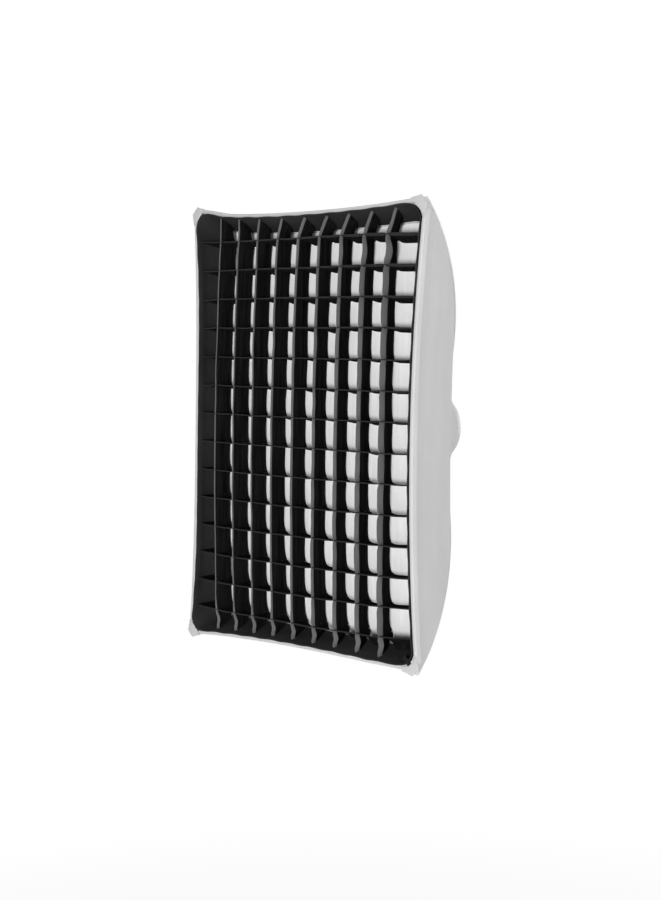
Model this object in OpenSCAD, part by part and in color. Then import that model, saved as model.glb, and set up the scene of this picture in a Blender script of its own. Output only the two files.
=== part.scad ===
// Rectangular softbox: a cloth shell on four bowed rods, a turning lamp ring and an egg-crate grid.
// Millimetres. X is to the right, Y runs back towards the lamp and Z is up.
// The origin is on the lamp axis, in the plane of the lamp seat.

/* [Shell] */
// Width of the front edge, corner to corner
front_w = 612; // [480:1:800]
// Height of the front edge, corner to corner
front_h = 884; // [700:1:1100]
// Distance from the lamp seat to the front corners
depth = 430; // [400:1:500]
// Thickness of the lined cloth
cloth_t = 2; // [1:0.1:3]
// How far the long front edges curve in
side_bow = 13; // [0:0.5:24]
// How far the short front edges curve in
end_bow = 13; // [0:0.5:20]
// How far the middle of a long front edge stands ahead of its corners
side_crown = 12; // [0:0.5:18]
// How far the middle of a short front edge stands ahead of its corners
end_crown = 14; // [0:0.5:18]
// Room between the ring's rim and the shell's rear opening
rear_room = 10; // [6:0.5:24]

/* [Rods] */
// Diameter of a rod
rod_d = 5; // [4:0.5:6]
// Radius of a rod's bow
rod_bow = 1000; // [800:10:1400]
// Distance from a rod's centre line to the corner seam
seam_off = 9; // [8:0.5:16]
// Diameter of the cap on a rod's front end
cap_d = 9; // [7:0.5:9.5]
// Length of the straight part of the cap
cap_len = 14; // [8:1:30]
// Diameter of the ferrule at a rod's rear end
ferrule_d = 8; // [7:0.5:9]
// Length of the ferrule
ferrule_len = 36; // [32:1:50]
// Depth of the rod's hole in the ferrule
ferrule_bore_depth = 14; // [8:1:18]

/* [Lamp ring] */
// Diameter of the light opening
bore_d = 86; // [70:1:88]
// Diameter of the bayonet spigot
spigot_d = 97; // [94:0.5:98]
// Length of the spigot behind the seat
spigot_len = 9; // [8:0.5:14]
// Number of bayonet lugs
lug_count = 3; // [2:1:4]
// Reach of a lug beyond the spigot
lug_reach = 4.5; // [3:0.5:5]
// Thickness of a lug
lug_t = 3.5; // [2.5:0.5:5]
// Arc of a lug in degrees
lug_arc = 38; // [24:1:50]
// Diameter of the adapter's flange
flange_d = 124; // [118:1:136]
// Thickness of the flange
flange_t = 5; // [4:0.5:7]
// Diameter of the journal that the ring turns on
journal_d = 104; // [100:1:106]
// Outer diameter of the speed ring
ring_d = 152; // [144:1:170]
// Length of the speed ring along the axis
ring_len = 35; // [33:1:44]
// Wall of the ring's hub
hub_wall = 6; // [5:0.5:8]
// Wall of the ring's rim
rim_wall = 5; // [4:0.5:7]
// Thickness of the ring's rear web
web_t = 5; // [4:0.5:8]
// Diameter of a rod socket's boss
boss_d = 15; // [13:0.5:16]
// Depth of a rod socket
socket_depth = 26; // [22:1:30]
// Thickness of the retaining ring
retainer_t = 3; // [2:0.5:5]
// Number of retaining screws
screw_count = 6; // [3:1:8]
// Diameter of a retaining screw
screw_d = 3; // [2:0.5:3]
// Length of a retaining screw below its head
screw_len = 11; // [8:1:16]

/* [Lock] */
// Diameter of the lock knob
knob_d = 19; // [16:0.5:20]
// Height of the lock knob
knob_h = 15; // [10:1:24]
// Diameter of the lock screw
stud_d = 6; // [4:0.5:6]
// Distance from the rim to the knob
knob_stand = 10; // [8:0.5:16]

/* [Front cloth] */
// Depth of the lip inside the front edge
lip_depth = 64; // [60:1:70]
// Thickness of the lip
lip_t = 2; // [1:0.1:3]
// Thickness of a hook or loop tape
tape_t = 1.4; // [0.8:0.1:2]
// Length of front edge that each corner takes
corner_cut = 46; // [40:1:60]
// Thickness of the front diffuser and the inner baffle
sheet_t = 1; // [0.6:0.1:2]
// Distance from the grid to the diffuser
diffuser_gap = 8; // [6:0.5:12]
// Distance from the lamp seat to the inner baffle
baffle_u = 215; // [180:1:250]
// Length of a baffle strap
strap_len = 42; // [30:1:60]
// Width of a baffle strap
strap_w = 22; // [14:1:30]
// Thickness of a baffle strap
strap_t = 1.4; // [0.8:0.1:2]

/* [Grid] */
// Columns of cells
grid_cols = 10; // [6:1:14]
// Rows of cells
grid_rows = 15; // [9:1:21]
// Depth of the slats
slat_depth = 45; // [30:1:46]
// Thickness of a slat
slat_t = 1.6; // [1:0.1:2.4]
// Thickness of the grid's border
border_t = 1.6; // [1:0.1:2.4]
// Front margin beside the outermost columns
side_margin = 31; // [10:0.5:40]
// Front margin beyond the outermost rows
end_margin = 7; // [4:0.5:14]
// Inward lean of the outermost upright slats
side_fan = 9; // [0:0.5:14]
// Inward lean of the outermost cross slats
end_fan = 5.5; // [0:0.5:14]
// How far the grid sits behind the front edge
grid_recess = 2; // [1:0.5:6]
// Width of the pull tab
tab_w = 10; // [8:1:24]
// How far the pull tab reaches out over the corner
tab_out = 14; // [10:1:40]

/* [Hidden] */
$fn = 64;

// Clearances
seat_gap = 0.3;
run_gap = 0.05;
thread_gap = 0.1;

// Colours
cloth_grey = "#c6c6c8";
cloth_black = "#131315";
cloth_white = "#f4f4f2";
metal = "#b4b6b9";
dark_metal = "#3a3b3e";
plastic_black = "#1b1b1d";

// Stations along the axis, counted forward from the lamp seat
ring_u0 = flange_t + seat_gap;
ring_u1 = ring_u0 + ring_len;
journal_u1 = ring_u1 + seat_gap;
retainer_u1 = journal_u1 + retainer_t;
lock_u = ring_u0 + web_t + stud_d / 2;
elastic_d = 4;
elastic_u = ring_u0 + 15;

// Radii of the lamp ring
bore_r = bore_d / 2;
journal_r = journal_d / 2;
ring_bore_r = journal_r + run_gap;
hub_r = ring_bore_r + hub_wall;
ring_r = ring_d / 2;
spigot_r = spigot_d / 2;
seat_inner_r = spigot_r + lug_reach + 1;
screw_r = (bore_r + journal_r) / 2;

// A rod leaves its socket in a straight line and then bows on one arc, in the plane through its corner.
// r is the distance from the lamp axis and u the distance forward from the lamp seat.
corner_angle = atan2(front_h, front_w);
front_r = norm([front_w, front_h]) / 2;
socket_floor = 4;
seat_r = hub_r + socket_floor;
seat_u = ring_u1 - boss_d / 2 - 1.5;
span = [front_r - seat_r, depth - seat_u];
span_len = norm(span);
reach = pow(span_len, 2) + pow(ferrule_len, 2) - 2 * rod_bow * seam_off - pow(seam_off, 2);
rod_angle = atan2(span[0], span[1]) - atan(ferrule_len / rod_bow)
    + asin(reach / (2 * span_len * norm([ferrule_len, rod_bow])));
arc_r = seat_r + ferrule_len * sin(rod_angle) - rod_bow * cos(rod_angle);
arc_u = seat_u + ferrule_len * cos(rod_angle) + rod_bow * sin(rod_angle);
cap_u = depth - seat_gap - cap_d / 2;
rod_end = asin((cap_u - arc_u) / rod_bow);

// The corner seam runs beside the rod, so the shell's section follows from the same arc
seam_bow = rod_bow + seam_off;
function corner_r(u, out = 0) = arc_r + sqrt(pow(seam_bow + out, 2) - pow(u - arc_u, 2));
function half_w(u, out = 0) = corner_r(u, out) * cos(corner_angle);
function half_h(u, out = 0) = corner_r(u, out) * sin(corner_angle);
rear_r = (ring_r + rear_room) / cos(corner_angle);
rear_u = arc_u - sqrt(pow(seam_bow, 2) - pow(rear_r - arc_r, 2));
function bow_share(u) = (u - rear_u) / (depth - rear_u);

// The front is crowned: the walls swing forward between the corners, fully so from the lip's rear edge on
lip_back = depth - lip_depth;
function crown_share(u) = min(1, (u - rear_u) / (lip_back - rear_u));
function side_crown_at(u, v) = side_crown * crown_share(u) * (1 - v * v);
function end_crown_at(u, v) = end_crown * crown_share(u) * (1 - v * v);

// Inner face of a wall at a height or width share v from -1 to 1, moved in by inset or out by out
function side_x(u, v, inset = 0, out = 0) = half_w(u, out) - side_bow * bow_share(u) * (1 - v * v) - inset;
function end_y(u, v, inset = 0, out = 0) = half_h(u, out) - end_bow * bow_share(u) * (1 - v * v) - inset;
function side_pt(u, v, inset = 0, out = 0) =
    [side_x(u, v, inset, out), v * half_h(u, out), u + side_crown_at(u, v)];
function end_pt(u, v, inset = 0, out = 0) =
    [-v * half_w(u, out), end_y(u, v, inset, out), u + end_crown_at(u, v)];

// The same inner faces at a plain distance z from the lamp seat
function side_at(z, v) = side_x(z - side_crown_at(z, v), v);
function end_at(z, v) = end_y(z - end_crown_at(z, v), v);

// Layers on the inner face of the front edge
lip_in = seat_gap;
loop_in = lip_in + lip_t + seat_gap;
hook_in = loop_in + tape_t + seat_gap;
border_in = hook_in + tape_t + seat_gap;
grid_in = border_in + border_t + seat_gap;
side_end = 1 - corner_cut / (front_h / 2);
end_end = 1 - corner_cut / (front_w / 2);

// Stations of the front cloth
grid_front = depth - grid_recess;
grid_back = grid_front - slat_depth;
diffuser_u = grid_back - diffuser_gap;

// Places of the slats on the grid's front plane, and their lean across the depth
cell_w = (front_w - 2 * side_margin) / grid_cols;
cell_h = (front_h - 2 * end_margin) / grid_rows;
function upright_x(i) = (i - grid_cols / 2) * cell_w;
function cross_y(j) = (grid_rows / 2 - j) * cell_h;
side_fan_share = side_fan / upright_x(grid_cols - 1);
end_fan_share = end_fan / cross_y(1);
function upright_at(i, s) = upright_x(i) * (1 - side_fan_share * s);
function cross_at(j, s) = cross_y(j) * (1 - end_fan_share * s);

// How far a point of the grid stands ahead of the grid's corners
function grid_crown(x, y) =
    side_crown * (1 - pow(y / half_h(grid_front), 2)) + end_crown * (1 - pow(x / half_w(grid_front), 2));

// Modelling frame: x right, y up, z forward from the lamp seat
module facing_front() {
    rotate([90, 0, 0])
        children();
}

// Copies for the four corners, each with the corner's radial direction along x
rod_places = [corner_angle, 180 - corner_angle, 180 + corner_angle, 360 - corner_angle];
module at_corners() {
    for (a = rod_places)
        rotate([0, 0, a])
            children();
}

// A copy and its mirror image
module both(axis) {
    children();
    mirror(axis)
        children();
}

// Closed sheet between two grids of points, rows by columns
function quad(a, b, c, d) = [[a, b, c], [a, c, d]];
module sheet_between(outer, inner, rows, cols) {
    n = (rows + 1) * (cols + 1);
    function at(i, j) = i * (cols + 1) + j;
    skin = [for (i = [0:rows - 1], j = [0:cols - 1])
        each quad(at(i, j), at(i + 1, j), at(i + 1, j + 1), at(i, j + 1))];
    back = [for (f = skin) [f[2] + n, f[1] + n, f[0] + n]];
    rims = [for (i = [0:rows - 1])
        each concat(
            quad(at(i + 1, 0), at(i, 0), at(i, 0) + n, at(i + 1, 0) + n),
            quad(at(i, cols), at(i + 1, cols), at(i + 1, cols) + n, at(i, cols) + n)
        )];
    ends = [for (j = [0:cols - 1])
        each concat(
            quad(at(0, j), at(0, j + 1), at(0, j + 1) + n, at(0, j) + n),
            quad(at(rows, j + 1), at(rows, j), at(rows, j) + n, at(rows, j + 1) + n)
        )];
    polyhedron(concat(outer, inner), concat(skin, back, rims, ends));
}

// The same round a closed loop, where the last column meets the first
module ring_between(outer, inner, rows, cols) {
    n = (rows + 1) * cols;
    function at(i, j) = i * cols + j % cols;
    skin = [for (i = [0:rows - 1], j = [0:cols - 1])
        each quad(at(i, j), at(i + 1, j), at(i + 1, j + 1), at(i, j + 1))];
    back = [for (f = skin) [f[2] + n, f[1] + n, f[0] + n]];
    ends = [for (j = [0:cols - 1])
        each concat(
            quad(at(0, j), at(0, j + 1), at(0, j + 1) + n, at(0, j) + n),
            quad(at(rows, j + 1), at(rows, j), at(rows, j) + n, at(rows, j + 1) + n)
        )];
    polyhedron(concat(outer, inner), concat(skin, back, ends));
}

// Strip on the inner face of the right wall, between two stations and two insets
strip_cols = 12;
strip_rows = 2;
function strip_us(u0, u1) = [for (i = [0:strip_rows]) u0 + (u1 - u0) * i / strip_rows];
function strip_vs(end) = [for (j = [0:strip_cols]) end * (2 * j / strip_cols - 1)];
module side_strip(u0, u1, inset, t) {
    outer = [for (u = strip_us(u0, u1), v = strip_vs(side_end)) side_pt(u, v, inset)];
    inner = [for (u = strip_us(u0, u1), v = strip_vs(side_end)) side_pt(u, v, inset + t)];
    sheet_between(outer, inner, strip_rows, strip_cols);
}

// The same strip on the top wall
module end_strip(u0, u1, inset, t) {
    outer = [for (u = strip_us(u0, u1), v = strip_vs(end_end)) end_pt(u, v, inset)];
    inner = [for (u = strip_us(u0, u1), v = strip_vs(end_end)) end_pt(u, v, inset + t)];
    sheet_between(outer, inner, strip_rows, strip_cols);
}

// Strips on all four walls
module strips(u0, u1, inset, t) {
    both([1, 0, 0])
        side_strip(u0, u1, inset, t);
    both([0, 1, 0])
        end_strip(u0, u1, inset, t);
}

// Rounded path over the upper right corner, from the side strip's end to the end strip's end
corner_steps = 6;
function corner_pt(u, t, inset) =
    let (a = side_pt(u, side_end, inset), c = end_pt(u, -end_end, inset), b = [a[0], c[1], u])
    pow(1 - t, 2) * a + 2 * t * (1 - t) * b + t * t * c;
function corner_ts() = [for (k = [0:corner_steps]) k / corner_steps];

// Closed sheet inside a loop: rings of points from the rim inwards, and a point in the middle
module disc_between(front, back, rows, cols) {
    n = rows * cols + 1;
    function at(i, j) = i * cols + j % cols;
    skin = concat(
        [for (i = [0:rows - 2], j = [0:cols - 1])
            each quad(at(i, j), at(i + 1, j), at(i + 1, j + 1), at(i, j + 1))],
        [for (j = [0:cols - 1]) [at(rows - 1, j), n - 1, at(rows - 1, j + 1)]]
    );
    under = [for (f = skin) [f[2] + n, f[1] + n, f[0] + n]];
    rim = [for (j = [0:cols - 1]) each quad(at(0, j), at(0, j + 1), at(0, j + 1) + n, at(0, j) + n)];
    polyhedron(concat(front, back), concat(skin, under, rim));
}

// Outline of the section at one station, a quarter at a time
function flat(p) = [p[0], p[1]];
function mirrored(p, sx, sy) = [sx * p[0], sy * p[1], p[2]];
function section_quarter(u, inset) = concat(
    [for (v = strip_vs(side_end)) if (v >= 0) side_pt(u, v, inset)],
    [for (k = [1:corner_steps - 1]) corner_pt(u, k / corner_steps, inset)],
    [for (v = strip_vs(end_end)) if (v < 0) end_pt(u, v, inset)],
    [end_pt(u, 0, inset)]
);
function section_loop(u, inset) =
    let (quarter = section_quarter(u, inset), last = len(quarter) - 1)
    concat(
        [for (k = [0:last]) quarter[k]],
        [for (k = [last - 1:-1:0]) mirrored(quarter[k], -1, 1)],
        [for (k = [1:last]) mirrored(quarter[k], -1, -1)],
        [for (k = [last - 1:-1:1]) mirrored(quarter[k], 1, -1)]
    );

// Crowned sheet that fills the section at one station
module section_sheet(u, inset, t) {
    rings = 4;
    loop = section_loop(u, inset);
    crown = (side_crown + end_crown) * crown_share(u);
    function drawn_in(p, f, lift) = [f * p[0], f * p[1], u + f * f * (p[2] - u) + (1 - f * f) * crown + lift];
    function skin(lift) = concat(
        [for (i = [0:rings - 1], p = loop) drawn_in(p, 1 - i / rings, lift)],
        [[0, 0, u + crown + lift]]
    );
    disc_between(skin(t), skin(0), rings, len(loop));
}

// Tube along the bowed part of a rod, between two angles of its arc
module bowed_tube(d, from, to) {
    rotate([90, 0, 0])
        translate([arc_r, arc_u, 0])
            rotate([0, 0, from])
                rotate_extrude(angle = to - from, $fn = 240)
                    translate([rod_bow, 0])
                        circle(d = d, $fn = 32);
}

// Degrees of a rod's arc that a length takes
function arc_share(length) = length / rod_bow * 180 / PI;

// Frame of a rod's socket, with z out of the socket
module in_socket() {
    translate([seat_r, 0, seat_u])
        rotate([0, rod_angle, 0])
            children();
}

// Lamp ring

module bayonet_adapter() {
    relief = 0.5;
    notch_w = 7;
    notch_depth = 4;
    profile = [
        [bore_r, -spigot_len],
        [spigot_r, -spigot_len],
        [spigot_r, relief],
        [seat_inner_r, relief],
        [seat_inner_r, 0],
        [flange_d / 2, 0],
        [flange_d / 2, flange_t],
        [journal_r, flange_t],
        [journal_r, journal_u1],
        [bore_r, journal_u1]
    ];
    lug = [
        [bore_r + 1, -spigot_len],
        [spigot_r + lug_reach, -spigot_len],
        [spigot_r + lug_reach, lug_t - spigot_len],
        [bore_r + 1, lug_t - spigot_len]
    ];
    color(metal)
        facing_front()
            difference() {
                union() {
                    rotate_extrude($fn = 128)
                        polygon(profile);
                    for (k = [0:lug_count - 1])
                        rotate([0, 0, 90 - lug_arc / 2 + k * 360 / lug_count])
                            rotate_extrude(angle = lug_arc, $fn = 128)
                                polygon(lug);
                }
                retaining_holes(screw_d + 2 * thread_gap, journal_u1 - screw_len, journal_u1 + 1);
                translate([-notch_w / 2, flange_d / 2 - notch_depth, -1])
                    cube([notch_w, notch_depth + 1, flange_t + 2]);
            }
}

// Row of holes or shanks on the retaining screws' circle
module retaining_holes(d, u0, u1) {
    for (k = [0:screw_count - 1])
        rotate([0, 0, (k + 0.5) * 360 / screw_count])
            translate([screw_r, 0, u0])
                cylinder(d = d, h = u1 - u0, $fn = 32);
}

module retaining_ring() {
    color(dark_metal)
        facing_front()
            difference() {
                translate([0, 0, journal_u1])
                    cylinder(r = hub_r - seat_gap, h = retainer_t, $fn = 128);
                translate([0, 0, journal_u1 - 1])
                    cylinder(r = bore_r + 1, h = retainer_t + 2, $fn = 128);
                retaining_holes(screw_d + 2 * thread_gap, journal_u1 - 1, retainer_u1 + 1);
            }
}

module retaining_screws() {
    head_h = 0.7 * screw_d;
    color(metal)
        facing_front() {
            retaining_holes(screw_d, retainer_u1 - screw_len + seat_gap, retainer_u1 + head_h / 2);
            difference() {
                retaining_holes(1.8 * screw_d, retainer_u1, retainer_u1 + head_h);
                retaining_holes(0.6 * screw_d, retainer_u1 + head_h / 2, retainer_u1 + head_h + 1);
            }
        }
}

module speed_ring() {
    rim_in = ring_r - rim_wall;
    rim_u1 = ring_u1 - 5;
    groove = elastic_d / 2 + seat_gap;
    groove_r = ring_r - 1.5;
    profile = [
        [ring_bore_r, ring_u0],
        [ring_r, ring_u0],
        [ring_r, elastic_u - groove],
        [groove_r, elastic_u - groove],
        [groove_r, elastic_u + groove],
        [ring_r, elastic_u + groove],
        [ring_r, rim_u1],
        [rim_in, rim_u1],
        [rim_in, ring_u0 + web_t],
        [hub_r, ring_u0 + web_t],
        [hub_r, ring_u1],
        [ring_bore_r, ring_u1]
    ];
    rib_t = 6;
    lock_boss_d = stud_d + 8;
    boss_root = socket_floor + hub_wall / 2;
    color(metal)
        facing_front()
            difference() {
                union() {
                    rotate_extrude($fn = 128)
                        polygon(profile);
                    for (a = [0, 90, 180])
                        rotate([0, 0, a])
                            translate([hub_r - 1, -rib_t / 2, ring_u0 + web_t - 1])
                                cube([rim_in - hub_r + 2, rib_t, rim_u1 - ring_u0 - web_t - 4]);
                    at_corners()
                        in_socket()
                            translate([0, 0, -boss_root])
                                cylinder(d = boss_d, h = socket_depth + boss_root);
                    lock_axis()
                        translate([0, 0, hub_r - 1])
                            cylinder(d = lock_boss_d, h = rim_in - hub_r + 2);
                }
                at_corners()
                    in_socket()
                        cylinder(d = ferrule_d + 2 * thread_gap, h = socket_depth + boss_d);
                lock_axis()
                    translate([0, 0, journal_r - 1])
                        cylinder(d = stud_d + 2 * thread_gap, h = ring_r);
                translate([0, 0, ring_u0 - 1])
                    cylinder(r = ring_bore_r, h = ring_len + boss_d, $fn = 128);
            }
}

// Frame of the lock screw, with z pointing out of the rim
module lock_axis() {
    translate([0, 0, lock_u])
        rotate([90, 0, 0])
            children();
}

module lock_screw() {
    color(metal)
        facing_front()
            lock_axis()
                translate([0, 0, journal_r + seat_gap])
                    cylinder(d = stud_d, h = ring_r + knob_stand + knob_h / 2 - journal_r - seat_gap);
}

module lock_knob() {
    lobes = 6;
    lobe_cut = 0.36 * knob_d;
    hub_h = 4;
    color(plastic_black)
        facing_front()
            lock_axis()
                translate([0, 0, ring_r + knob_stand])
                    difference() {
                        union() {
                            cylinder(d = knob_d, h = knob_h);
                            translate([0, 0, -hub_h])
                                cylinder(d = stud_d + 5, h = hub_h + 1);
                        }
                        for (k = [0:lobes - 1])
                            rotate([0, 0, (k + 0.5) * 360 / lobes])
                                translate([0.62 * knob_d, 0, -1])
                                    cylinder(d = lobe_cut, h = knob_h + 2);
                        translate([0, 0, -hub_h - 1])
                            cylinder(d = stud_d + 2 * run_gap, h = hub_h + 1 + knob_h / 2 + seat_gap);
                    }
}

// Rods

// The rod's rear end follows the same arc into the ferrule, whose bore leaves room for the bow
rod_stub = ferrule_bore_depth - seat_gap;
ferrule_bore_d = rod_d + 2 * thread_gap + pow(ferrule_bore_depth, 2) / rod_bow;

module rod(place) {
    color(dark_metal)
        facing_front()
            rotate([0, 0, place])
                bowed_tube(rod_d, -rod_angle - arc_share(rod_stub), rod_end);
}

module rod_upper_right() {
    rod(rod_places[0]);
}

module rod_upper_left() {
    rod(rod_places[1]);
}

module rod_lower_left() {
    rod(rod_places[2]);
}

module rod_lower_right() {
    rod(rod_places[3]);
}

module rod_ferrules() {
    stop_t = 2;
    color(metal)
        facing_front()
            at_corners()
                in_socket()
                    difference() {
                        union() {
                            translate([0, 0, seat_gap])
                                cylinder(d = ferrule_d, h = ferrule_len - seat_gap);
                            translate([0, 0, socket_depth + seat_gap])
                                cylinder(d = ferrule_d + 3, h = stop_t);
                        }
                        translate([0, 0, ferrule_len - ferrule_bore_depth])
                            cylinder(d = ferrule_bore_d, h = ferrule_bore_depth + 1);
                    }
}

module rod_caps() {
    cap_from = rod_end - arc_share(cap_len);
    bore_to = rod_end + arc_share(seat_gap);
    color(plastic_black)
        facing_front()
            at_corners()
                difference() {
                    union() {
                        bowed_tube(cap_d, cap_from, rod_end);
                        translate([arc_r + rod_bow * cos(rod_end), 0, cap_u])
                            sphere(d = cap_d, $fn = 48);
                    }
                    bowed_tube(rod_d + 2 * thread_gap, cap_from - 0.1, bore_to);
                }
}

// Shell

panel_rows = 12;
panel_cols = 12;
panel_us = [for (i = [0:panel_rows]) rear_u + (depth - rear_u) * i / panel_rows];
panel_vs = [for (j = [0:panel_cols]) 2 * j / panel_cols - 1];

module side_panel() {
    outer = [for (u = panel_us, v = panel_vs) side_pt(u, v, 0, cloth_t)];
    inner = [for (u = panel_us, v = panel_vs) side_pt(u, v)];
    sheet_between(outer, inner, panel_rows, panel_cols);
}

module end_panel() {
    outer = [for (u = panel_us, v = panel_vs) end_pt(u, v, 0, cloth_t)];
    inner = [for (u = panel_us, v = panel_vs) end_pt(u, v)];
    sheet_between(outer, inner, panel_rows, panel_cols);
}

module shell_right() {
    color(cloth_grey)
        facing_front()
            side_panel();
}

module shell_left() {
    color(cloth_grey)
        facing_front()
            mirror([1, 0, 0])
                side_panel();
}

module shell_top() {
    color(cloth_grey)
        facing_front()
            end_panel();
}

module shell_bottom() {
    color(cloth_grey)
        facing_front()
            mirror([0, 1, 0])
                end_panel();
}

// Cloth from the shell's rear opening to the elastic on the ring's rim
collar_r = ring_r - 1.5 + seat_gap + elastic_d + seat_gap;
module rear_collar() {
    side_steps = 16;
    levels = 3;
    angles = concat(rod_places, [360 + corner_angle]);
    function lerp(a, b, t) = a + (b - a) * t;
    function round_pt(a, r, u) = [r * cos(a), r * sin(a), u];
    function loop_pt(k, t, s, out) =
        let (
            a = round_pt(angles[k], corner_r(rear_u, out), rear_u),
            b = round_pt(angles[k + 1], corner_r(rear_u, out), rear_u),
            c = round_pt(lerp(angles[k], angles[k + 1], t), collar_r + out, elastic_u)
        )
        lerp(c, lerp(a, b, t), s);
    function skin(out) = [for (i = [0:levels], k = [0:3], j = [0:side_steps - 1])
        loop_pt(k, j / side_steps, i / levels, out)];
    color(cloth_grey)
        facing_front()
            ring_between(skin(cloth_t), skin(0), levels, 4 * side_steps);
}

module collar_elastic() {
    color(cloth_black)
        facing_front()
            translate([0, 0, elastic_u])
                rotate_extrude($fn = 128)
                    translate([collar_r - seat_gap - elastic_d / 2, 0])
                        circle(d = elastic_d, $fn = 24);
}

// Front cloth

gusset_t = 2;
gusset_short = 12;
gusset_leg = corner_cut - gusset_short;
gusset_u = depth + seat_gap;
corner_x = half_w(depth, cloth_t);
corner_y = half_h(depth, cloth_t);
function side_rise(y) = side_crown_at(depth, y / corner_y);
function end_rise(x) = end_crown_at(depth, x / corner_x);
module corner_gussets() {
    tip_out = 5;
    tip_half = 10;
    rounding_d = 3;
    spots = [
        [corner_x - gusset_leg, corner_y, end_rise(corner_x - gusset_leg)],
        [corner_x, corner_y - gusset_leg, side_rise(corner_y - gusset_leg)],
        [corner_x + tip_out, corner_y - tip_half, side_rise(corner_y - tip_half)],
        [corner_x - tip_half, corner_y + tip_out, end_rise(corner_x - tip_half)]
    ];
    color(cloth_grey)
        facing_front()
            both([1, 0, 0])
                both([0, 1, 0])
                    hull()
                        for (p = spots)
                            translate([p[0], p[1], gusset_u + p[2]])
                                cylinder(d = rounding_d, h = gusset_t, $fn = 16);
}

module front_lip() {
    color(cloth_grey)
        facing_front()
            strips(lip_back, depth, lip_in, lip_t);
}

module lip_loop_tape() {
    color(cloth_black)
        facing_front()
            strips(lip_back + 1, grid_front - 1, loop_in, tape_t);
}

module front_diffuser() {
    color(cloth_white)
        facing_front()
            section_sheet(diffuser_u, border_in, sheet_t);
}

module diffuser_hem() {
    hem_behind = 5;
    hem_front = 6;
    color(cloth_white)
        facing_front()
            strips(diffuser_u - hem_behind, diffuser_u + hem_front, hook_in, tape_t);
}

// Half sizes of the baffle, which hangs on its straps in the shell's section
baffle_x = side_at(baffle_u, 0) - strap_len;
baffle_y = end_at(baffle_u, 0) - strap_len;
strap_share = 0.45;
strap_lap = 12;
strap_room = 2 * seat_gap;

module inner_baffle() {
    corner_radius = 24;
    color(cloth_white)
        facing_front()
            translate([0, 0, baffle_u])
                linear_extrude(sheet_t)
                    difference() {
                        square([2 * baffle_x, 2 * baffle_y], center = true);
                        both([1, 0, 0])
                            both([0, 1, 0])
                                difference() {
                                    translate([baffle_x - corner_radius, baffle_y - corner_radius])
                                        square(corner_radius + 1);
                                    translate([baffle_x - corner_radius, baffle_y - corner_radius])
                                        circle(corner_radius);
                                }
                    }
}

module baffle_straps() {
    u0 = baffle_u + sheet_t + seat_gap;
    side_to = side_at(u0, strap_share) - strap_room;
    end_to = end_at(u0, strap_share) - strap_room;
    color(cloth_black)
        facing_front()
            both([1, 0, 0])
                both([0, 1, 0]) {
                    translate([baffle_x - strap_lap, strap_share * half_h(u0) - strap_w / 2, u0])
                        cube([side_to - baffle_x + strap_lap, strap_w, strap_t]);
                    translate([strap_share * half_w(u0) - strap_w / 2, baffle_y - strap_lap, u0])
                        cube([strap_w, end_to - baffle_y + strap_lap, strap_t]);
                }
}

module baffle_snaps() {
    u0 = baffle_u + sheet_t + seat_gap;
    snap_d = 10;
    snap_h = 2;
    color(metal)
        facing_front()
            both([1, 0, 0])
                both([0, 1, 0]) {
                    translate([baffle_x - strap_lap / 2, strap_share * half_h(u0), u0 + strap_t])
                        cylinder(d = snap_d, h = snap_h);
                    translate([strap_share * half_w(u0), baffle_y - strap_lap / 2, u0 + strap_t])
                        cylinder(d = snap_d, h = snap_h);
                }
}

// Grid

module grid_border_right() {
    color(cloth_black)
        facing_front()
            side_strip(grid_back, grid_front, border_in, border_t);
}

module grid_border_left() {
    color(cloth_black)
        facing_front()
            mirror([1, 0, 0])
                side_strip(grid_back, grid_front, border_in, border_t);
}

module grid_border_top() {
    color(cloth_black)
        facing_front()
            end_strip(grid_back, grid_front, border_in, border_t);
}

module grid_border_bottom() {
    color(cloth_black)
        facing_front()
            mirror([0, 1, 0])
                end_strip(grid_back, grid_front, border_in, border_t);
}

module grid_corners() {
    us = strip_us(grid_back, grid_front);
    outer = [for (u = us, t = corner_ts()) corner_pt(u, t, border_in)];
    inner = [for (u = us, t = corner_ts()) corner_pt(u, t, border_in + border_t)];
    color(cloth_black)
        facing_front()
            both([1, 0, 0])
                both([0, 1, 0])
                    sheet_between(outer, inner, strip_rows, corner_steps);
}

module grid_hook_tape() {
    color(cloth_black)
        facing_front()
            strips(grid_back + 2, grid_front - 2, hook_in, tape_t);
}

// Loop of webbing on the lower right corner of the grid, folded over the front edge
module grid_pull_tab() {
    root = corner_pt(grid_front, 0.5, border_in + border_t + seat_gap);
    tab_t = 1.6;
    leg = 10;
    face_u = gusset_u + gusset_t + end_rise(corner_x - gusset_leg) + seat_gap;
    curve_room = pow(tab_w, 2) / (3 * corner_cut);
    profile = [
        [-tab_t, grid_front - leg],
        [0, grid_front - leg],
        [0, face_u],
        [tab_out, face_u],
        [tab_out, face_u + tab_t],
        [-tab_t, face_u + tab_t]
    ];
    color(cloth_black)
        facing_front()
            mirror([0, 1, 0])
                translate([root[0], root[1], 0])
                    rotate([0, 0, 45])
                        rotate([90, 0, 0])
                            translate([-tab_lean(leg + root[2] - grid_front) - curve_room, 0, -tab_w / 2])
                                linear_extrude(tab_w)
                                    polygon(profile);
}

// How far the border's corner comes in over a stretch of its depth
function tab_lean(stretch) =
    norm(flat(corner_pt(grid_front, 0.5, 0)) - flat(corner_pt(grid_front - stretch, 0.5, 0)));

// Half-lapped slats: uprights are slotted from the back and cross slats from the front
slot_w = slat_t + 2 * seat_gap;
lap = 0.5;

edge_steps = 24;
function spread(a, b) = [for (k = [0:edge_steps]) a + (b - a) * k / edge_steps];

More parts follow.
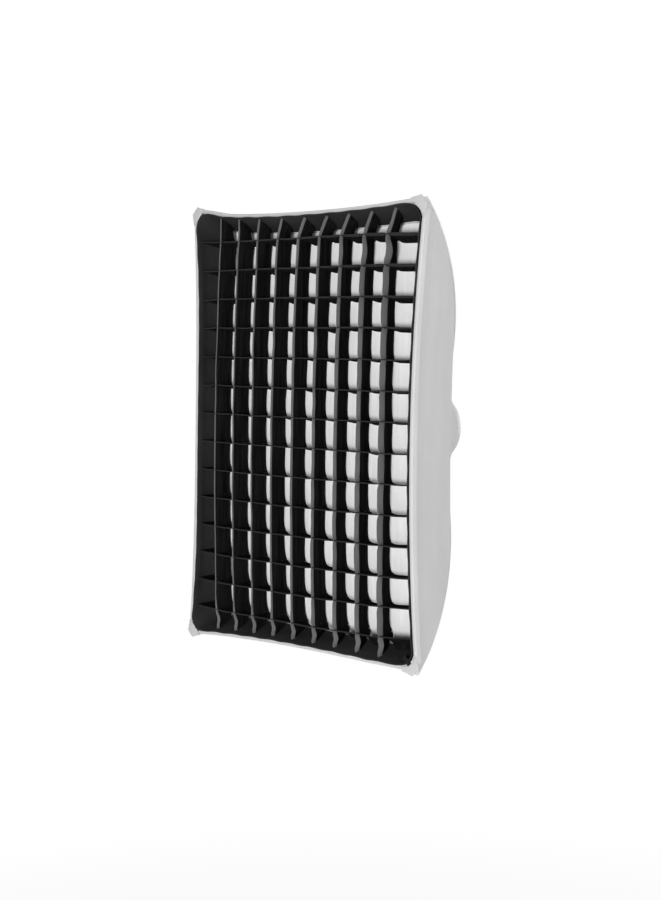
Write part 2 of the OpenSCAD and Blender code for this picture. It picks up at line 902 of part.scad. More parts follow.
module upright_slat(i) {
    x0 = upright_x(i);
    x1 = upright_at(i, 1);
    lean = atan((x0 - x1) / slat_depth);
    len = slat_depth / cos(lean);
    mid = len * lap - seat_gap / 2;
    y0 = end_y(grid_front, x0 / half_w(grid_front), grid_in);
    y1 = end_y(grid_back, x1 / half_w(grid_back), grid_in);
    function ahead(y) = grid_crown(x0, y) / cos(lean);
    function cross_line(j, s) = cross_at(j, s - grid_crown(x0, cross_y(j)) / slat_depth);
    comb = [for (j = [1:grid_rows - 1])
        let (a = cross_line(j, lap), b = cross_line(j, 1), c = ahead(cross_y(j)))
        each [
            [len - c, b + slot_w / 2],
            [mid - c, a + slot_w / 2],
            [mid - c, a - slot_w / 2],
            [len - c, b - slot_w / 2]
        ]];
    front = [for (y = spread(-y0, y0)) [-ahead(y), y]];
    color(cloth_black)
        facing_front()
            translate([x0, 0, grid_front])
                rotate([0, lean + 90, 0])
                    linear_extrude(slat_t, center = true)
                        polygon(concat(front, [[len - ahead(y0), y1]], comb, [[len - ahead(y0), -y1]]));
}

module cross_slat(j) {
    y0 = cross_y(j);
    y1 = cross_at(j, 1);
    lean = atan((y0 - y1) / slat_depth);
    len = slat_depth / cos(lean);
    mid = len * lap + seat_gap / 2;
    x0 = side_x(grid_front, y0 / half_h(grid_front), grid_in);
    x1 = side_x(grid_back, y1 / half_h(grid_back), grid_in);
    function ahead(x) = grid_crown(x, y0) / cos(lean);
    function upright_line(i, s) = upright_at(i, s - grid_crown(upright_x(i), y0) / slat_depth);
    comb = [for (i = [1:grid_cols - 1])
        let (a = upright_line(i, 0), b = upright_line(i, lap), c = ahead(upright_x(i)))
        each [
            [a - slot_w / 2, -c],
            [b - slot_w / 2, mid - c],
            [b + slot_w / 2, mid - c],
            [a + slot_w / 2, -c]
        ]];
    back = [for (x = spread(x1, -x1)) [x, len - ahead(x)]];
    color(cloth_black)
        facing_front()
            translate([0, y0, grid_front])
                rotate([-90 - lean, 0, 0])
                    linear_extrude(slat_t, center = true)
                        polygon(concat([[-x0, -ahead(x0)]], comb, [[x0, -ahead(x0)]], back));
}

bayonet_adapter();
retaining_ring();
retaining_screws();
speed_ring();
lock_screw();
lock_knob();
rod_upper_right();
rod_upper_left();
rod_lower_left();
rod_lower_right();
rod_ferrules();
rod_caps();
shell_right();
shell_left();
shell_top();
shell_bottom();
rear_collar();
collar_elastic();
corner_gussets();
front_lip();
lip_loop_tape();
front_diffuser();
diffuser_hem();
inner_baffle();
baffle_straps();
baffle_snaps();
grid_border_right();
grid_border_left();
grid_border_top();
grid_border_bottom();
grid_corners();
grid_hook_tape();
grid_pull_tab();
for (i = [1:grid_cols - 1])
    upright_slat(i);
for (j = [1:grid_rows - 1])
    cross_slat(j);
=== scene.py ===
"""Softbox with an egg-crate grid: cloth, stitching, finishes, light and camera round the frame.

Cloth is drawn in millimetres in the part's own modelling frame (x right, y up, z forward from the
lamp seat), with the sizes and formulas of the part's source, and turned into metres at the end.
"""
import math

import bpy
import numpy as np
from mathutils import Matrix, Vector


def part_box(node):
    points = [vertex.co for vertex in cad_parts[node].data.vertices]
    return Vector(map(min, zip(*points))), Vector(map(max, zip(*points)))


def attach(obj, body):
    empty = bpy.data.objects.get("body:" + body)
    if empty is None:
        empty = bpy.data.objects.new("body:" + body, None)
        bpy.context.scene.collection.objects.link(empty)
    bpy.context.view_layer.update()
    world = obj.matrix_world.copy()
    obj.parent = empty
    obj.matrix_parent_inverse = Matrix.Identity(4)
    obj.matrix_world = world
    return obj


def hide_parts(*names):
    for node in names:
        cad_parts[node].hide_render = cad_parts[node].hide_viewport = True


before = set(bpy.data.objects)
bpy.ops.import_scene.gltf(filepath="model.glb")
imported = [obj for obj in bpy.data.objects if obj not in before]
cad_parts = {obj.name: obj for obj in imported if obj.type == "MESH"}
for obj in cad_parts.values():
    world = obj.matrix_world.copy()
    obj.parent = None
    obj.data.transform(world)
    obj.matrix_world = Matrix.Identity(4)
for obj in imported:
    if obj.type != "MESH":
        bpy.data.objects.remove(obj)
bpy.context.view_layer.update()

MM = 0.001

# ---- Sizes of the part, in millimetres -----------------------------------------------

FRONT_W, FRONT_H, DEPTH = 612.0, 884.0, 430.0
CLOTH_T = 2.0
SIDE_BOW, END_BOW = 13.0, 13.0
SIDE_CROWN, END_CROWN = 12.0, 14.0
REAR_ROOM = 10.0
ROD_BOW, SEAM_OFF, FERRULE_LEN = 1000.0, 9.0, 36.0
RING_R, HUB_R, RING_U0, RING_LEN, BOSS_D = 76.0, 58.05, 5.3, 35.0, 15.0
SOCKET_FLOOR, SOCKET_RIM = 4.0, 1.5
ELASTIC_D, ELASTIC_AHEAD, RIM_STEP = 4.0, 15.0, 1.5
SEAT_GAP = 0.3
LIP_DEPTH, LIP_T, TAPE_T, CORNER_CUT = 64.0, 2.0, 1.4, 46.0
SHEET_T, DIFFUSER_GAP = 1.0, 8.0
BAFFLE_U, BAFFLE_RADIUS = 215.0, 24.0
STRAP_W, STRAP_T, STRAP_SHARE, STRAP_LAP = 22.0, 1.4, 0.45, 12.0
GRID_COLS, GRID_ROWS = 10, 15
SLAT_DEPTH, BORDER_T = 45.0, 1.6
SIDE_MARGIN, END_MARGIN, SIDE_FAN, END_FAN, GRID_RECESS = 31.0, 7.0, 9.0, 5.5, 2.0
TAB_W, TAB_LEG, TAB_OUT, TAB_T = 10.0, 10.0, 14.0, 1.6
GUSSET_T, GUSSET_SHORT, TIP_OUT, TIP_HALF = 2.0, 12.0, 5.0, 10.0
GUSSET_LEG = CORNER_CUT - GUSSET_SHORT

# ---- The shell's section, as in the part's source ------------------------------------

CORNER_ANGLE = math.atan2(FRONT_H, FRONT_W)
FRONT_R = math.hypot(FRONT_W, FRONT_H) / 2
SEAT_R = HUB_R + SOCKET_FLOOR
SEAT_U = RING_U0 + RING_LEN - BOSS_D / 2 - SOCKET_RIM
SPAN = (FRONT_R - SEAT_R, DEPTH - SEAT_U)
SPAN_LEN = math.hypot(*SPAN)
REACH = SPAN_LEN**2 + FERRULE_LEN**2 - 2 * ROD_BOW * SEAM_OFF - SEAM_OFF**2
ROD_ANGLE = (
    math.atan2(*SPAN)
    - math.atan(FERRULE_LEN / ROD_BOW)
    + math.asin(REACH / (2 * SPAN_LEN * math.hypot(FERRULE_LEN, ROD_BOW)))
)
ARC_R = SEAT_R + FERRULE_LEN * math.sin(ROD_ANGLE) - ROD_BOW * math.cos(ROD_ANGLE)
ARC_U = SEAT_U + FERRULE_LEN * math.cos(ROD_ANGLE) + ROD_BOW * math.sin(ROD_ANGLE)
SEAM_BOW = ROD_BOW + SEAM_OFF
REAR_R = (RING_R + REAR_ROOM) / math.cos(CORNER_ANGLE)
REAR_U = ARC_U - math.sqrt(SEAM_BOW**2 - (REAR_R - ARC_R) ** 2)
LIP_BACK = DEPTH - LIP_DEPTH
ELASTIC_U = RING_U0 + ELASTIC_AHEAD
COLLAR_R = RING_R - RIM_STEP + SEAT_GAP + ELASTIC_D + SEAT_GAP

LIP_IN = SEAT_GAP
LOOP_IN = LIP_IN + LIP_T + SEAT_GAP
HOOK_IN = LOOP_IN + TAPE_T + SEAT_GAP
BORDER_IN = HOOK_IN + TAPE_T + SEAT_GAP
SIDE_END = 1 - CORNER_CUT / (FRONT_H / 2)
END_END = 1 - CORNER_CUT / (FRONT_W / 2)
GRID_FRONT = DEPTH - GRID_RECESS
GRID_BACK = GRID_FRONT - SLAT_DEPTH
DIFFUSER_U = GRID_BACK - DIFFUSER_GAP
CELL_W = (FRONT_W - 2 * SIDE_MARGIN) / GRID_COLS
CELL_H = (FRONT_H - 2 * END_MARGIN) / GRID_ROWS


def corner_r(u, out=0.0):
    return ARC_R + np.sqrt((SEAM_BOW + out) ** 2 - (u - ARC_U) ** 2)


def half_w(u, out=0.0):
    return corner_r(u, out) * math.cos(CORNER_ANGLE)


def half_h(u, out=0.0):
    return corner_r(u, out) * math.sin(CORNER_ANGLE)


def bow_share(u):
    return (u - REAR_U) / (DEPTH - REAR_U)


def crown_share(u):
    return np.minimum(1.0, (u - REAR_U) / (LIP_BACK - REAR_U))


def side_pt(u, v, inset=0.0, out=0.0):
    """Point on the right wall at station u and height share v, moved in by inset or out by out."""
    u, v = np.broadcast_arrays(np.asarray(u, float), np.asarray(v, float))
    x = half_w(u, out) - SIDE_BOW * bow_share(u) * (1 - v * v) - inset
    return np.stack([x, v * half_h(u, out), u + SIDE_CROWN * crown_share(u) * (1 - v * v)], -1)


def end_pt(u, v, inset=0.0, out=0.0):
    """Point on the top wall at station u and width share v, from left to right."""
    u, v = np.broadcast_arrays(np.asarray(u, float), np.asarray(v, float))
    y = half_h(u, out) - END_BOW * bow_share(u) * (1 - v * v) - inset
    return np.stack([v * half_w(u, out), y, u + END_CROWN * crown_share(u) * (1 - v * v)], -1)


def corner_pt(u, t, inset):
    """Rounded path over the upper right corner, t from the side strip to the end strip."""
    u, t = np.broadcast_arrays(np.asarray(u, float), np.asarray(t, float))
    a, c = side_pt(u, SIDE_END, inset), end_pt(u, END_END, inset)
    b = np.stack([a[..., 0], c[..., 1], u], -1)
    t = t[..., None]
    return (1 - t) ** 2 * a + 2 * t * (1 - t) * b + t * t * c


def upright_at(i, s):
    x = (i - GRID_COLS / 2) * CELL_W
    return x * (1 - SIDE_FAN / ((GRID_COLS / 2 - 1) * CELL_W) * s)


def cross_at(j, s):
    y = (GRID_ROWS / 2 - j) * CELL_H
    return y * (1 - END_FAN / ((GRID_ROWS / 2 - 1) * CELL_H) * s)


def grid_crown(x, y):
    """How far a point of the front cloth stands ahead of its corners."""
    side = SIDE_CROWN * (1 - (y / half_h(GRID_FRONT)) ** 2)
    return side + END_CROWN * (1 - (x / half_w(GRID_FRONT)) ** 2)


def flipped(points, sx, sy):
    return points * np.array([sx, sy, 1.0])


# Slack of the front edges beyond the part's plain bows: how far each is drawn in, and the power of
# its curve. It sets in from SLACK_FROM to SLACK_TO of the half size, and ahead of SLACK_BACK. The
# corners that rise have the signs of their sides.
TOP_SLACK, BOTTOM_SLACK, LEFT_SLACK = (3.0, 4), (7.0, 12), (12.0, 3)
SLACK_FROM, SLACK_TO, SLACK_BACK = 0.85, 0.94, 150.0
CORNER_RISE = [(-1, 1, 6.0), (1, -1, 4.0)]
CORNER_FROM = 0.6


def eased(value, low, high):
    """Smooth step from 0 at low to 1 at high."""
    t = np.clip((value - low) / (high - low), 0, 1)
    return t * t * (3 - 2 * t)


def slackened(points):
    """Points of the cloth, with the top edge hanging, the bottom and left edges drawn in and two
    corners raised a little."""
    x, y, u = points.T
    v, w = np.clip(x / half_w(u), -1, 1), np.clip(y / half_h(u), -1, 1)

    def drawn(slack, toward, along):
        return slack[0] * eased(toward, SLACK_FROM, SLACK_TO) * (1 - np.abs(along) ** slack[1])

    up = drawn(BOTTOM_SLACK, -w, v) - drawn(TOP_SLACK, w, v)
    for sx, sy, rise in CORNER_RISE:
        at_side = eased(sx * v, CORNER_FROM, SLACK_TO)
        up = up + rise * at_side * eased(sy * w, CORNER_FROM, SLACK_TO)
    ahead = np.clip((u - SLACK_BACK) / (DEPTH - SLACK_BACK), 0, 1) ** 2
    move = np.stack([drawn(LEFT_SLACK, -v, w), up, np.zeros_like(u)], -1)
    return points + ahead[:, None] * move


# ---- Meshes --------------------------------------------------------------------------

SHARP_ANGLE = math.radians(42)
OFF_AXIS = np.array([0.31, 0.17, 0.94])  # a direction that no tube or seam follows


def unit(a):
    return a / np.maximum(np.linalg.norm(a, axis=-1, keepdims=True), 1e-9)


def run_along(points, axis):
    """Length along one axis of a grid of points, from its first row or column."""
    steps = np.linalg.norm(np.diff(points, axis=axis), axis=-1)
    start = np.zeros_like(np.take(steps, [0], axis=axis))
    return np.concatenate([start, np.cumsum(steps, axis=axis)], axis=axis)


def slope(points, axis, closed=False):
    """Direction along one axis of a grid of points, whose last may be next to the first."""
    if closed:
        return np.roll(points, -1, axis=axis) - np.roll(points, 1, axis=axis)
    return np.gradient(points, axis=axis)


def round_about(way, sides):
    """Unit vectors round each of a row of directions."""
    side = unit(np.cross(way, OFF_AXIS))
    other = np.cross(way, side)
    turn = np.linspace(0, 2 * math.pi, sides, endpoint=False)[None, :, None]
    return np.cos(turn) * side[:, None] + np.sin(turn) * other[:, None]


class Cloth:
    """Collects sheets and tubes in millimetres and turns them into one object."""

    def __init__(self):
        self.verts, self.faces, self.uvs, self.mats, self.count = [], [], [], [], 0

    def _take(self, verts, faces, uvs, mats):
        used = np.unique(np.concatenate([np.asarray(f) for f in faces]))
        renumber = {int(k): n + self.count for n, k in enumerate(used)}
        self.verts.append(np.asarray(verts)[used])
        self.faces += [[renumber[int(k)] for k in f] for f in faces]
        self.uvs += uvs
        self.mats += mats
        self.count += len(used)
        return self

    def slab(self, mid, thickness, closed=False, keep=None, paint=0, back=None, flip=False):
        """A sheet with a front, a back and closed edges round a grid of points on its middle.

        closed joins the last column to the first, keep says which cells of the grid are there,
        paint and back give the material of each cell's front and back.
        """
        rows, cols = mid.shape[:2]
        cells = (rows - 1, cols if closed else cols - 1)
        normal = unit(np.cross(slope(mid, 0), slope(mid, 1, closed))) * (-1 if flip else 1)
        half = np.broadcast_to(np.asarray(thickness, float) / 2, (rows, cols))[..., None]
        verts = np.concatenate([mid + normal * half, mid - normal * half]).reshape(-1, 3)
        paint = np.broadcast_to(paint, cells)
        back = paint if back is None else np.broadcast_to(back, cells)
        keep = np.ones(cells, bool) if keep is None else keep
        looped = np.concatenate([mid, mid[:, :1]], axis=1) if closed else mid
        s, t = run_along(looped, 1) * MM, run_along(looped, 0) * MM
        n, faces, uvs, mats, rim = rows * cols, [], [], [], {}
        for i, j in zip(*np.nonzero(keep)):
            at = [(i, j), (i + 1, j), (i + 1, j + 1), (i, j + 1)][:: -1 if flip else 1]
            quad, uv = [a * cols + b % cols for a, b in at], [(s[a], t[a]) for a in at]
            faces += [quad, [q + n for q in quad[::-1]]]
            uvs += [uv, uv[::-1]]
            mats += [int(paint[i, j]), int(back[i, j])]
            for e in range(-4, 0):
                a, b = quad[e], quad[e + 1]
                if not rim.pop((b, a), None):
                    rim[a, b] = uv[e], uv[e + 1], int(paint[i, j])
        for (a, b), (uv_a, uv_b, mat) in rim.items():
            faces.append([b, a, a + n, b + n])
            uvs.append([uv_b, uv_a, uv_a, uv_b])
            mats.append(mat)
        return self._take(verts, faces, uvs, mats)

    def tube(self, path, radius, sides, closed=False):
        """A round cord along a path of points."""
        path = np.asarray(path, float)
        n = len(path)
        radius = np.broadcast_to(np.asarray(radius, float), (n,))[:, None, None]
        rings = path[:, None] + radius * round_about(unit(slope(path, 0, closed)), sides)
        run = run_along(path[:, None], 0)[:, 0] * MM
        girth = 2 * math.pi * float(radius.mean()) * MM / sides
        faces, uvs = [], []
        for i in range(n if closed else n - 1):
            a, b = i * sides, (i + 1) % n * sides
            u0, u1 = run[i], run[min(i + 1, n - 1)]
            for j in range(sides):
                k = (j + 1) % sides
                faces.append([a + j, a + k, b + k, b + j])
                v0, v1 = j * girth, (j + 1) * girth
                uvs.append([(u0, v0), (u0, v1), (u1, v1), (u1, v0)])
        if not closed:
            faces += [list(range(sides))[::-1], [(n - 1) * sides + j for j in range(sides)]]
            uvs += [[(0.0, j * girth) for j in range(sides)]] * 2
        return self._take(rings.reshape(-1, 3), faces, uvs, [0] * len(faces))

    def stitches(self, line, length=3.2, gap=1.3, radius=0.45, sides=5):
        """A row of thread stitches along a line, each a small spindle half sunk in the cloth."""
        run = run_along(line[:, None], 0)[:, 0]
        starts = np.arange(gap, run[-1] - length, length + gap)
        ends, tips = (
            np.stack([np.interp(starts + step, run, line[:, k]) for k in range(3)], -1)
            for step in (0.0, length)
        )
        around = radius * round_about(unit(tips - ends), sides)
        rings = [(ends + (tips - ends) * share)[:, None] + around for share in (0.25, 0.75)]
        verts = np.concatenate([ends[:, None], tips[:, None], *rings], axis=1).reshape(-1, 3)
        faces = []
        for base in range(0, len(verts), 2 + 2 * sides):
            for j in range(sides):
                a, b = base + 2 + j, base + 2 + (j + 1) % sides
                faces += [[base, b, a], [a, b, b + sides, a + sides]]
                faces.append([base + 1, a + sides, b + sides])
        uvs = [[(0.0, 0.0)] * len(f) for f in faces]
        return self._take(verts, faces, uvs, [0] * len(faces))

    def piece(self, name, materials, body, slot, *nodes):
        """The finished object, on a body, with the CAD nodes that it stands for."""
        verts = slackened(np.concatenate(self.verts))
        verts = np.stack([verts[:, 0], -verts[:, 2], verts[:, 1]], -1) * MM
        mesh = bpy.data.meshes.new(name)
        mesh.from_pydata(verts.tolist(), [], self.faces)
        for material in materials:
            mesh.materials.append(material)
        mesh.polygons.foreach_set("material_index", self.mats)
        mesh.polygons.foreach_set("use_smooth", [True] * len(self.faces))
        layer = mesh.uv_layers.new(name="cloth")
        layer.data.foreach_set("uv", [c for f in self.uvs for uv in f for c in uv])
        mesh.set_sharp_from_angle(angle=SHARP_ANGLE)
        mesh.update()
        obj = bpy.data.objects.new(name, mesh)
        bpy.context.scene.collection.objects.link(obj)
        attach(obj, body)
        if nodes:
            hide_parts(*nodes)
        return obj


# ---- Finishes ------------------------------------------------------------------------


def add_node(tree, kind, inputs=None, **settings):
    """A new shader node, with its settings, and its inputs linked or set."""
    node = tree.nodes.new(kind)
    for key, value in settings.items():
        setattr(node, key, value)
    for key, value in (inputs or {}).items():
        if isinstance(value, bpy.types.NodeSocket):
            tree.links.new(value, node.inputs[key])
        else:
            node.inputs[key].default_value = value
    return node


def seen_ray(tree):
    """1 where a ray comes from the camera, straight or by way of a shiny or clear surface."""
    rays = add_node(tree, "ShaderNodeLightPath").outputs
    seen = rays["Is Camera Ray"]
    for kind in ("Is Glossy Ray", "Is Transmission Ray"):
        inputs = {0: seen, 1: rays[kind]}
        seen = add_node(tree, "ShaderNodeMath", inputs, operation="MAXIMUM").outputs[0]
    return seen


SHADE_ENDS = (0.3, 0.7)


class Finish:
    """A procedural material, built node by node round one Principled shader."""

    def __init__(self, name, roughness, metallic=0.0, sheen=0.0, specular=0.5):
        self.material = bpy.data.materials.new(name)
        self.material.use_nodes = True
        self.tree = self.material.node_tree
        self.shader = self.tree.nodes["Principled BSDF"]
        inputs = {"Roughness": roughness, "Metallic": metallic}
        inputs |= {"Sheen Weight": sheen, "Specular IOR Level": specular}
        for key, value in inputs.items():
            self.shader.inputs[key].default_value = value

    def add(self, kind, inputs=None, **settings):
        return add_node(self.tree, kind, inputs, **settings)

    def math(self, operation, a, b=0.0):
        return self.add("ShaderNodeMath", {0: a, 1: b}, operation=operation).outputs[0]

    def coords(self, kind):
        return self.add("ShaderNodeTexCoord").outputs[kind]

    def noise(self, scale, detail, stretch=None):
        vector = self.coords("Object")
        if stretch:
            vector = self.add("ShaderNodeMapping", {"Vector": vector, "Scale": stretch}).outputs[0]
        inputs = {"Vector": vector, "Scale": scale, "Detail": detail}
        return self.add("ShaderNodeTexNoise", inputs).outputs["Fac"]

    def waves(self, place, pitch):
        return self.math("SINE", self.math("MULTIPLY", place, 2 * math.pi / pitch))

    def ribs(self, pitch, axis):
        """Height of fine ribs, a pitch in metres apart, along one axis of the piece's own cloth."""
        split = self.add("ShaderNodeSeparateXYZ", {0: self.coords("UV")})
        return self.waves(split.outputs[axis], pitch)

    def threads(self, pitch):
        """Height of a plain weave of the piece's own cloth."""
        return self.math("MULTIPLY", self.ribs(pitch, 0), self.ribs(pitch, 1))

    def colour(self, low, high, factor):
        """Shade between two greys, by a factor from 0 to 1."""
        ramp = self.add("ShaderNodeValToRGB", {0: factor})
        for end, place, shade in zip(ramp.color_ramp.elements, SHADE_ENDS, (low, high)):
            end.position, end.color = place, (shade, shade, shade, 1)
        self.tree.links.new(ramp.outputs[0], self.shader.inputs["Base Color"])

    def roughen(self, low, high, factor):
        spread = self.add("ShaderNodeMapRange", {0: factor, 3: low, 4: high})
        self.tree.links.new(spread.outputs[0], self.shader.inputs["Roughness"])

    def bump(self, height, distance, strength):
        """Adds a height times a distance in metres, over any bump that is there already."""
        inputs = {"Height": height, "Distance": distance, "Strength": strength}
        node = self.add("ShaderNodeBump", inputs)
        normal = self.shader.inputs["Normal"]
        if normal.is_linked:
            self.tree.links.new(normal.links[0].from_socket, node.inputs["Normal"])
        self.tree.links.new(node.outputs[0], normal)


# Scale and detail of the noises that all cloths share
STREAK_NOISE, SLOW_NOISE = (150.0, 2.0), (9.0, 4.0)
FINE_NOISE, CREASE_NOISE = (900.0, 2.0), (26.0, 5.0)
UPRIGHT_STREAKS = (1.0, 1.0, 0.07)
SLOW_SHARE = 0.75


def cloth_finish(
    name, low, high, pitch, sheen, crease=0.0004, specular=0.25, streak=0.0, ribs=None
):
    """Woven cloth: threads, soft creases and a change of shade, slow or in upright streaks, which
    on the slat cloth are painted sheen.

    streak is the height of the streaks. ribs gives pitch, axis, height and strength of ribs.
    """
    f = Finish(name, 0.8, sheen=sheen, specular=specular)
    slow = f.noise(*STREAK_NOISE, UPRIGHT_STREAKS) if streak else f.noise(*SLOW_NOISE)
    fine = f.noise(*FINE_NOISE)
    slow_part = f.math("MULTIPLY", slow, SLOW_SHARE)
    fine_part = f.math("MULTIPLY", fine, 1 - SLOW_SHARE)
    f.colour(low, high, f.math("ADD", slow_part, fine_part))
    f.roughen(0.72, 0.9, fine)
    f.bump(f.noise(*CREASE_NOISE), crease, 0.7)
    f.bump(f.threads(pitch), pitch * 0.12, 0.6)
    if streak:
        f.bump(slow, streak, 0.8)
    if ribs:
        f.bump(f.ribs(*ribs[:2]), *ribs[2:])
    return f.material


def hard_finish(name, low, high, rough, shade, wear, grain, metallic=0.0):
    """A firm surface by its greys, its range of roughness, and the noises of its shade, wear and
    grain. The grain also has a height and a strength."""
    f = Finish(name, rough[0], metallic=metallic)
    f.colour(low, high, f.noise(*shade))
    f.roughen(*rough, f.noise(*wear))
    f.bump(f.noise(*grain[:2]), *grain[2:])
    return f


METAL_NOISES = (40.0, 4.0), (160.0, 5.0), (700.0, 3.0, 0.00004, 0.5)
WEAR_LEAST, WEAR_MOST = 0.8, 1.35


def metal_finish(name, low, high, roughness, turned=None):
    """Metal with fine scratches, and turning marks round the lamp axis, at their pitch."""
    rough = roughness * WEAR_LEAST, roughness * WEAR_MOST
    f = hard_finish(name, low, high, rough, *METAL_NOISES, metallic=1.0)
    if turned:
        x, _, z = f.add("ShaderNodeSeparateXYZ", {0: f.coords("Object")}).outputs
        square = f.math("ADD", f.math("POWER", x, 2.0), f.math("POWER", z, 2.0))
        f.bump(f.waves(f.math("SQRT", square), turned), 0.00003, 0.6)
    return f.material


def pile_finish(name, low, high, scale):
    """Hook or loop tape: a dense pile of small loops."""
    f = Finish(name, 0.9, sheen=0.3, specular=0.2)
    inputs = {"Vector": f.coords("Object"), "Scale": scale}
    cells = f.add("ShaderNodeTexVoronoi", inputs).outputs["Distance"]
    f.colour(low, high, cells)
    f.roughen(0.8, 0.98, cells)
    f.bump(cells, 0.0006, 0.9)
    f.bump(f.noise(1400.0, 2.0), 0.0002, 0.6)
    return f.material


# Cloth by its darkest and palest grey, thread pitch in metres and sheen
shell_cloth = cloth_finish("shell_cloth", 0.535, 0.575, 0.0012, 0.15)
shell_seam = cloth_finish("shell_seam", 0.55, 0.60, 0.0009, 0.2)
BINDING_RIBS, SLAT_RIBS = (0.0022, 0, 0.00025, 0.7), (0.0024, 0, 0.00018, 0.8)
WEBBING_RIBS = (0.0020, 1, 0.0003, 0.8)
binding = cloth_finish("binding_tape", 0.51, 0.56, 0.0016, 0.05, specular=0.1, ribs=BINDING_RIBS)
thread_pale = cloth_finish("thread_pale", 0.54, 0.60, 0.0006, 0.1)
silver = hard_finish(
    "silver_lining", 0.62, 0.74, (0.34, 0.52), (60.0, 4.0), (220.0, 3.0),
    (90.0, 6.0, 0.0006, 0.7), metallic=0.85,
)
silver.bump(silver.threads(0.0014), 0.00012, 0.4)
lining = silver.material

# The upright streaks in the slat cloth's colour are painted sheen, satin reflections along the
# slats' faces; the same streaks also raise a real bump.
slat_cloth = cloth_finish(
    "slat_cloth", 0.005, 0.018, 0.0008, 0.0, specular=0.0, streak=0.0004, ribs=SLAT_RIBS
)
# The uprights' front hems are painted a lighter grey than the cross slats' hems of the same black
# cloth: a painted highlight on their folded front edges.
slat_hem_painted_highlight = cloth_finish("slat_hem_painted_highlight", 0.100, 0.130, 0.0009, 0.0, specular=0.05)
cross_hem = cloth_finish("cross_hem", 0.021, 0.031, 0.0009, 0.0, specular=0.05)
border_cloth = cloth_finish("border_cloth", 0.022, 0.036, 0.0010, 0.0, specular=0.0)
webbing = cloth_finish("webbing", 0.010, 0.018, 0.0014, 0.03, specular=0.05, ribs=WEBBING_RIBS)
white_cloth = cloth_finish(
    "diffuser_cloth", 0.75, 0.84, 0.0007, 0.05, crease=0.0003, streak=0.0008
)
white_tape = cloth_finish("diffuser_hem_tape", 0.78, 0.83, 0.0012, 0.15)

loop_pile = pile_finish("loop_pile", 0.018, 0.040, 900.0)
hook_pile = pile_finish("hook_pile", 0.012, 0.030, 620.0)

cast_alloy = metal_finish("cast_alloy_finish", 0.50, 0.60, 0.42)
turned_alloy = metal_finish("turned_alloy_finish", 0.58, 0.68, 0.30, turned=0.0006)
bright_steel = metal_finish("bright_steel_finish", 0.60, 0.70, 0.24)
dark_metal = metal_finish("dark_metal_finish", 0.10, 0.15, 0.40, turned=0.0007)
rod_metal = metal_finish("rod_finish", 0.16, 0.22, 0.36)
plastic = hard_finish(
    "black_plastic_finish", 0.012, 0.022, (0.42, 0.62), (60.0, 3.0), (500.0, 3.0),
    (1100.0, 2.0, 0.00008, 0.7),
).material

# Solids of the part that show as they are
UPPER_RODS = ["rod_upper_left", "rod_upper_right"]
LOWER_RODS = ["rod_lower_left", "rod_lower_right"]
KEPT = [
    (turned_alloy, ["bayonet_adapter"]),
    (dark_metal, ["retaining_ring"]),
    (cast_alloy, ["speed_ring"]),
    (rod_metal, UPPER_RODS + LOWER_RODS),
    (bright_steel, ["retaining_screws", "lock_screw", "rod_ferrules", "baffle_snaps"]),
    (plastic, ["lock_knob", "rod_caps"]),
]
for material, names in KEPT:
    for name in names:
        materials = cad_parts[name].data.materials
        materials.clear()
        materials.append(material)

rng = np.random.RandomState(47)

# ---- Shell ---------------------------------------------------------------------------

HEM, HEM_EXTRA, HEM_STEP = 24.0, 0.8, 0.6
RIDGE, RIDGE_WIDTH = 0.35, 4.0
RIDGE_STATIONS = np.array([-4, -1.5, 0, 1.5, 4])
PANEL_ROWS, PANEL_COLS = 60, 97
PANEL_U = np.linspace(REAR_U, DEPTH, PANEL_ROWS)
PANEL_U = np.append(PANEL_U, [DEPTH - HEM - HEM_STEP, DEPTH - HEM, *(LIP_BACK + RIDGE_STATIONS)])
PANEL_U = np.unique(PANEL_U)
FOLD, FOLDS = 1.1, 7
FOLD_ACROSS, FOLD_ALONG, FOLD_SIZE = (1.2, 5.5), (-1.4, 1.4), (0.4, 1.0)


def soft_folds(share, v):
    """Shallow folds of stretched cloth, in millimetres, that fade out at the edges."""
    height = np.zeros_like(share)
    for _ in range(FOLDS):
        across, along = rng.uniform(*FOLD_ACROSS), rng.uniform(*FOLD_ALONG)
        phase = rng.uniform(0, 2 * math.pi)
        wave = np.sin(2 * math.pi * (across * share + along * v / 2) + phase)
        height += rng.uniform(*FOLD_SIZE) * wave
    window = np.clip(4 * share * (1 - share), 0, 1) * (1 - v**6)
    return FOLD * height / math.sqrt(FOLDS) * window


def shell_panel(name, point, sx, sy):
    """One wall of the shell, with its hem, its folds and the ridge over the lip's back edge."""
    u, v = np.meshgrid(PANEL_U, np.linspace(-1, 1, PANEL_COLS), indexing="ij")
    mid = (point(u, v) + point(u, v, out=CLOTH_T)) / 2
    thickness = np.where(u >= DEPTH - HEM, CLOTH_T + HEM_EXTRA, CLOTH_T)
    out = unit(np.cross(slope(mid, 0), slope(mid, 1)))
    inward = bool(np.sum(out[..., :2] * mid[..., :2]) < 0)
    ridge = RIDGE * np.exp(-(((u - LIP_BACK) / RIDGE_WIDTH) ** 2))
    raised = soft_folds(bow_share(u), v) + ridge + (thickness - CLOTH_T) / 2
    mid = flipped(mid + (-out if inward else out) * raised[..., None], sx, sy)
    cloth = Cloth().slab(mid, thickness, back=1, flip=inward != (sx * sy < 0))
    obj = cloth.piece(name + "_cloth", [shell_cloth, lining], "softbox", "cloth_grey", name)


shell_panel("shell_right", side_pt, 1, 1)
shell_panel("shell_left", side_pt, -1, 1)
shell_panel("shell_top", end_pt, 1, 1)
shell_panel("shell_bottom", end_pt, 1, -1)

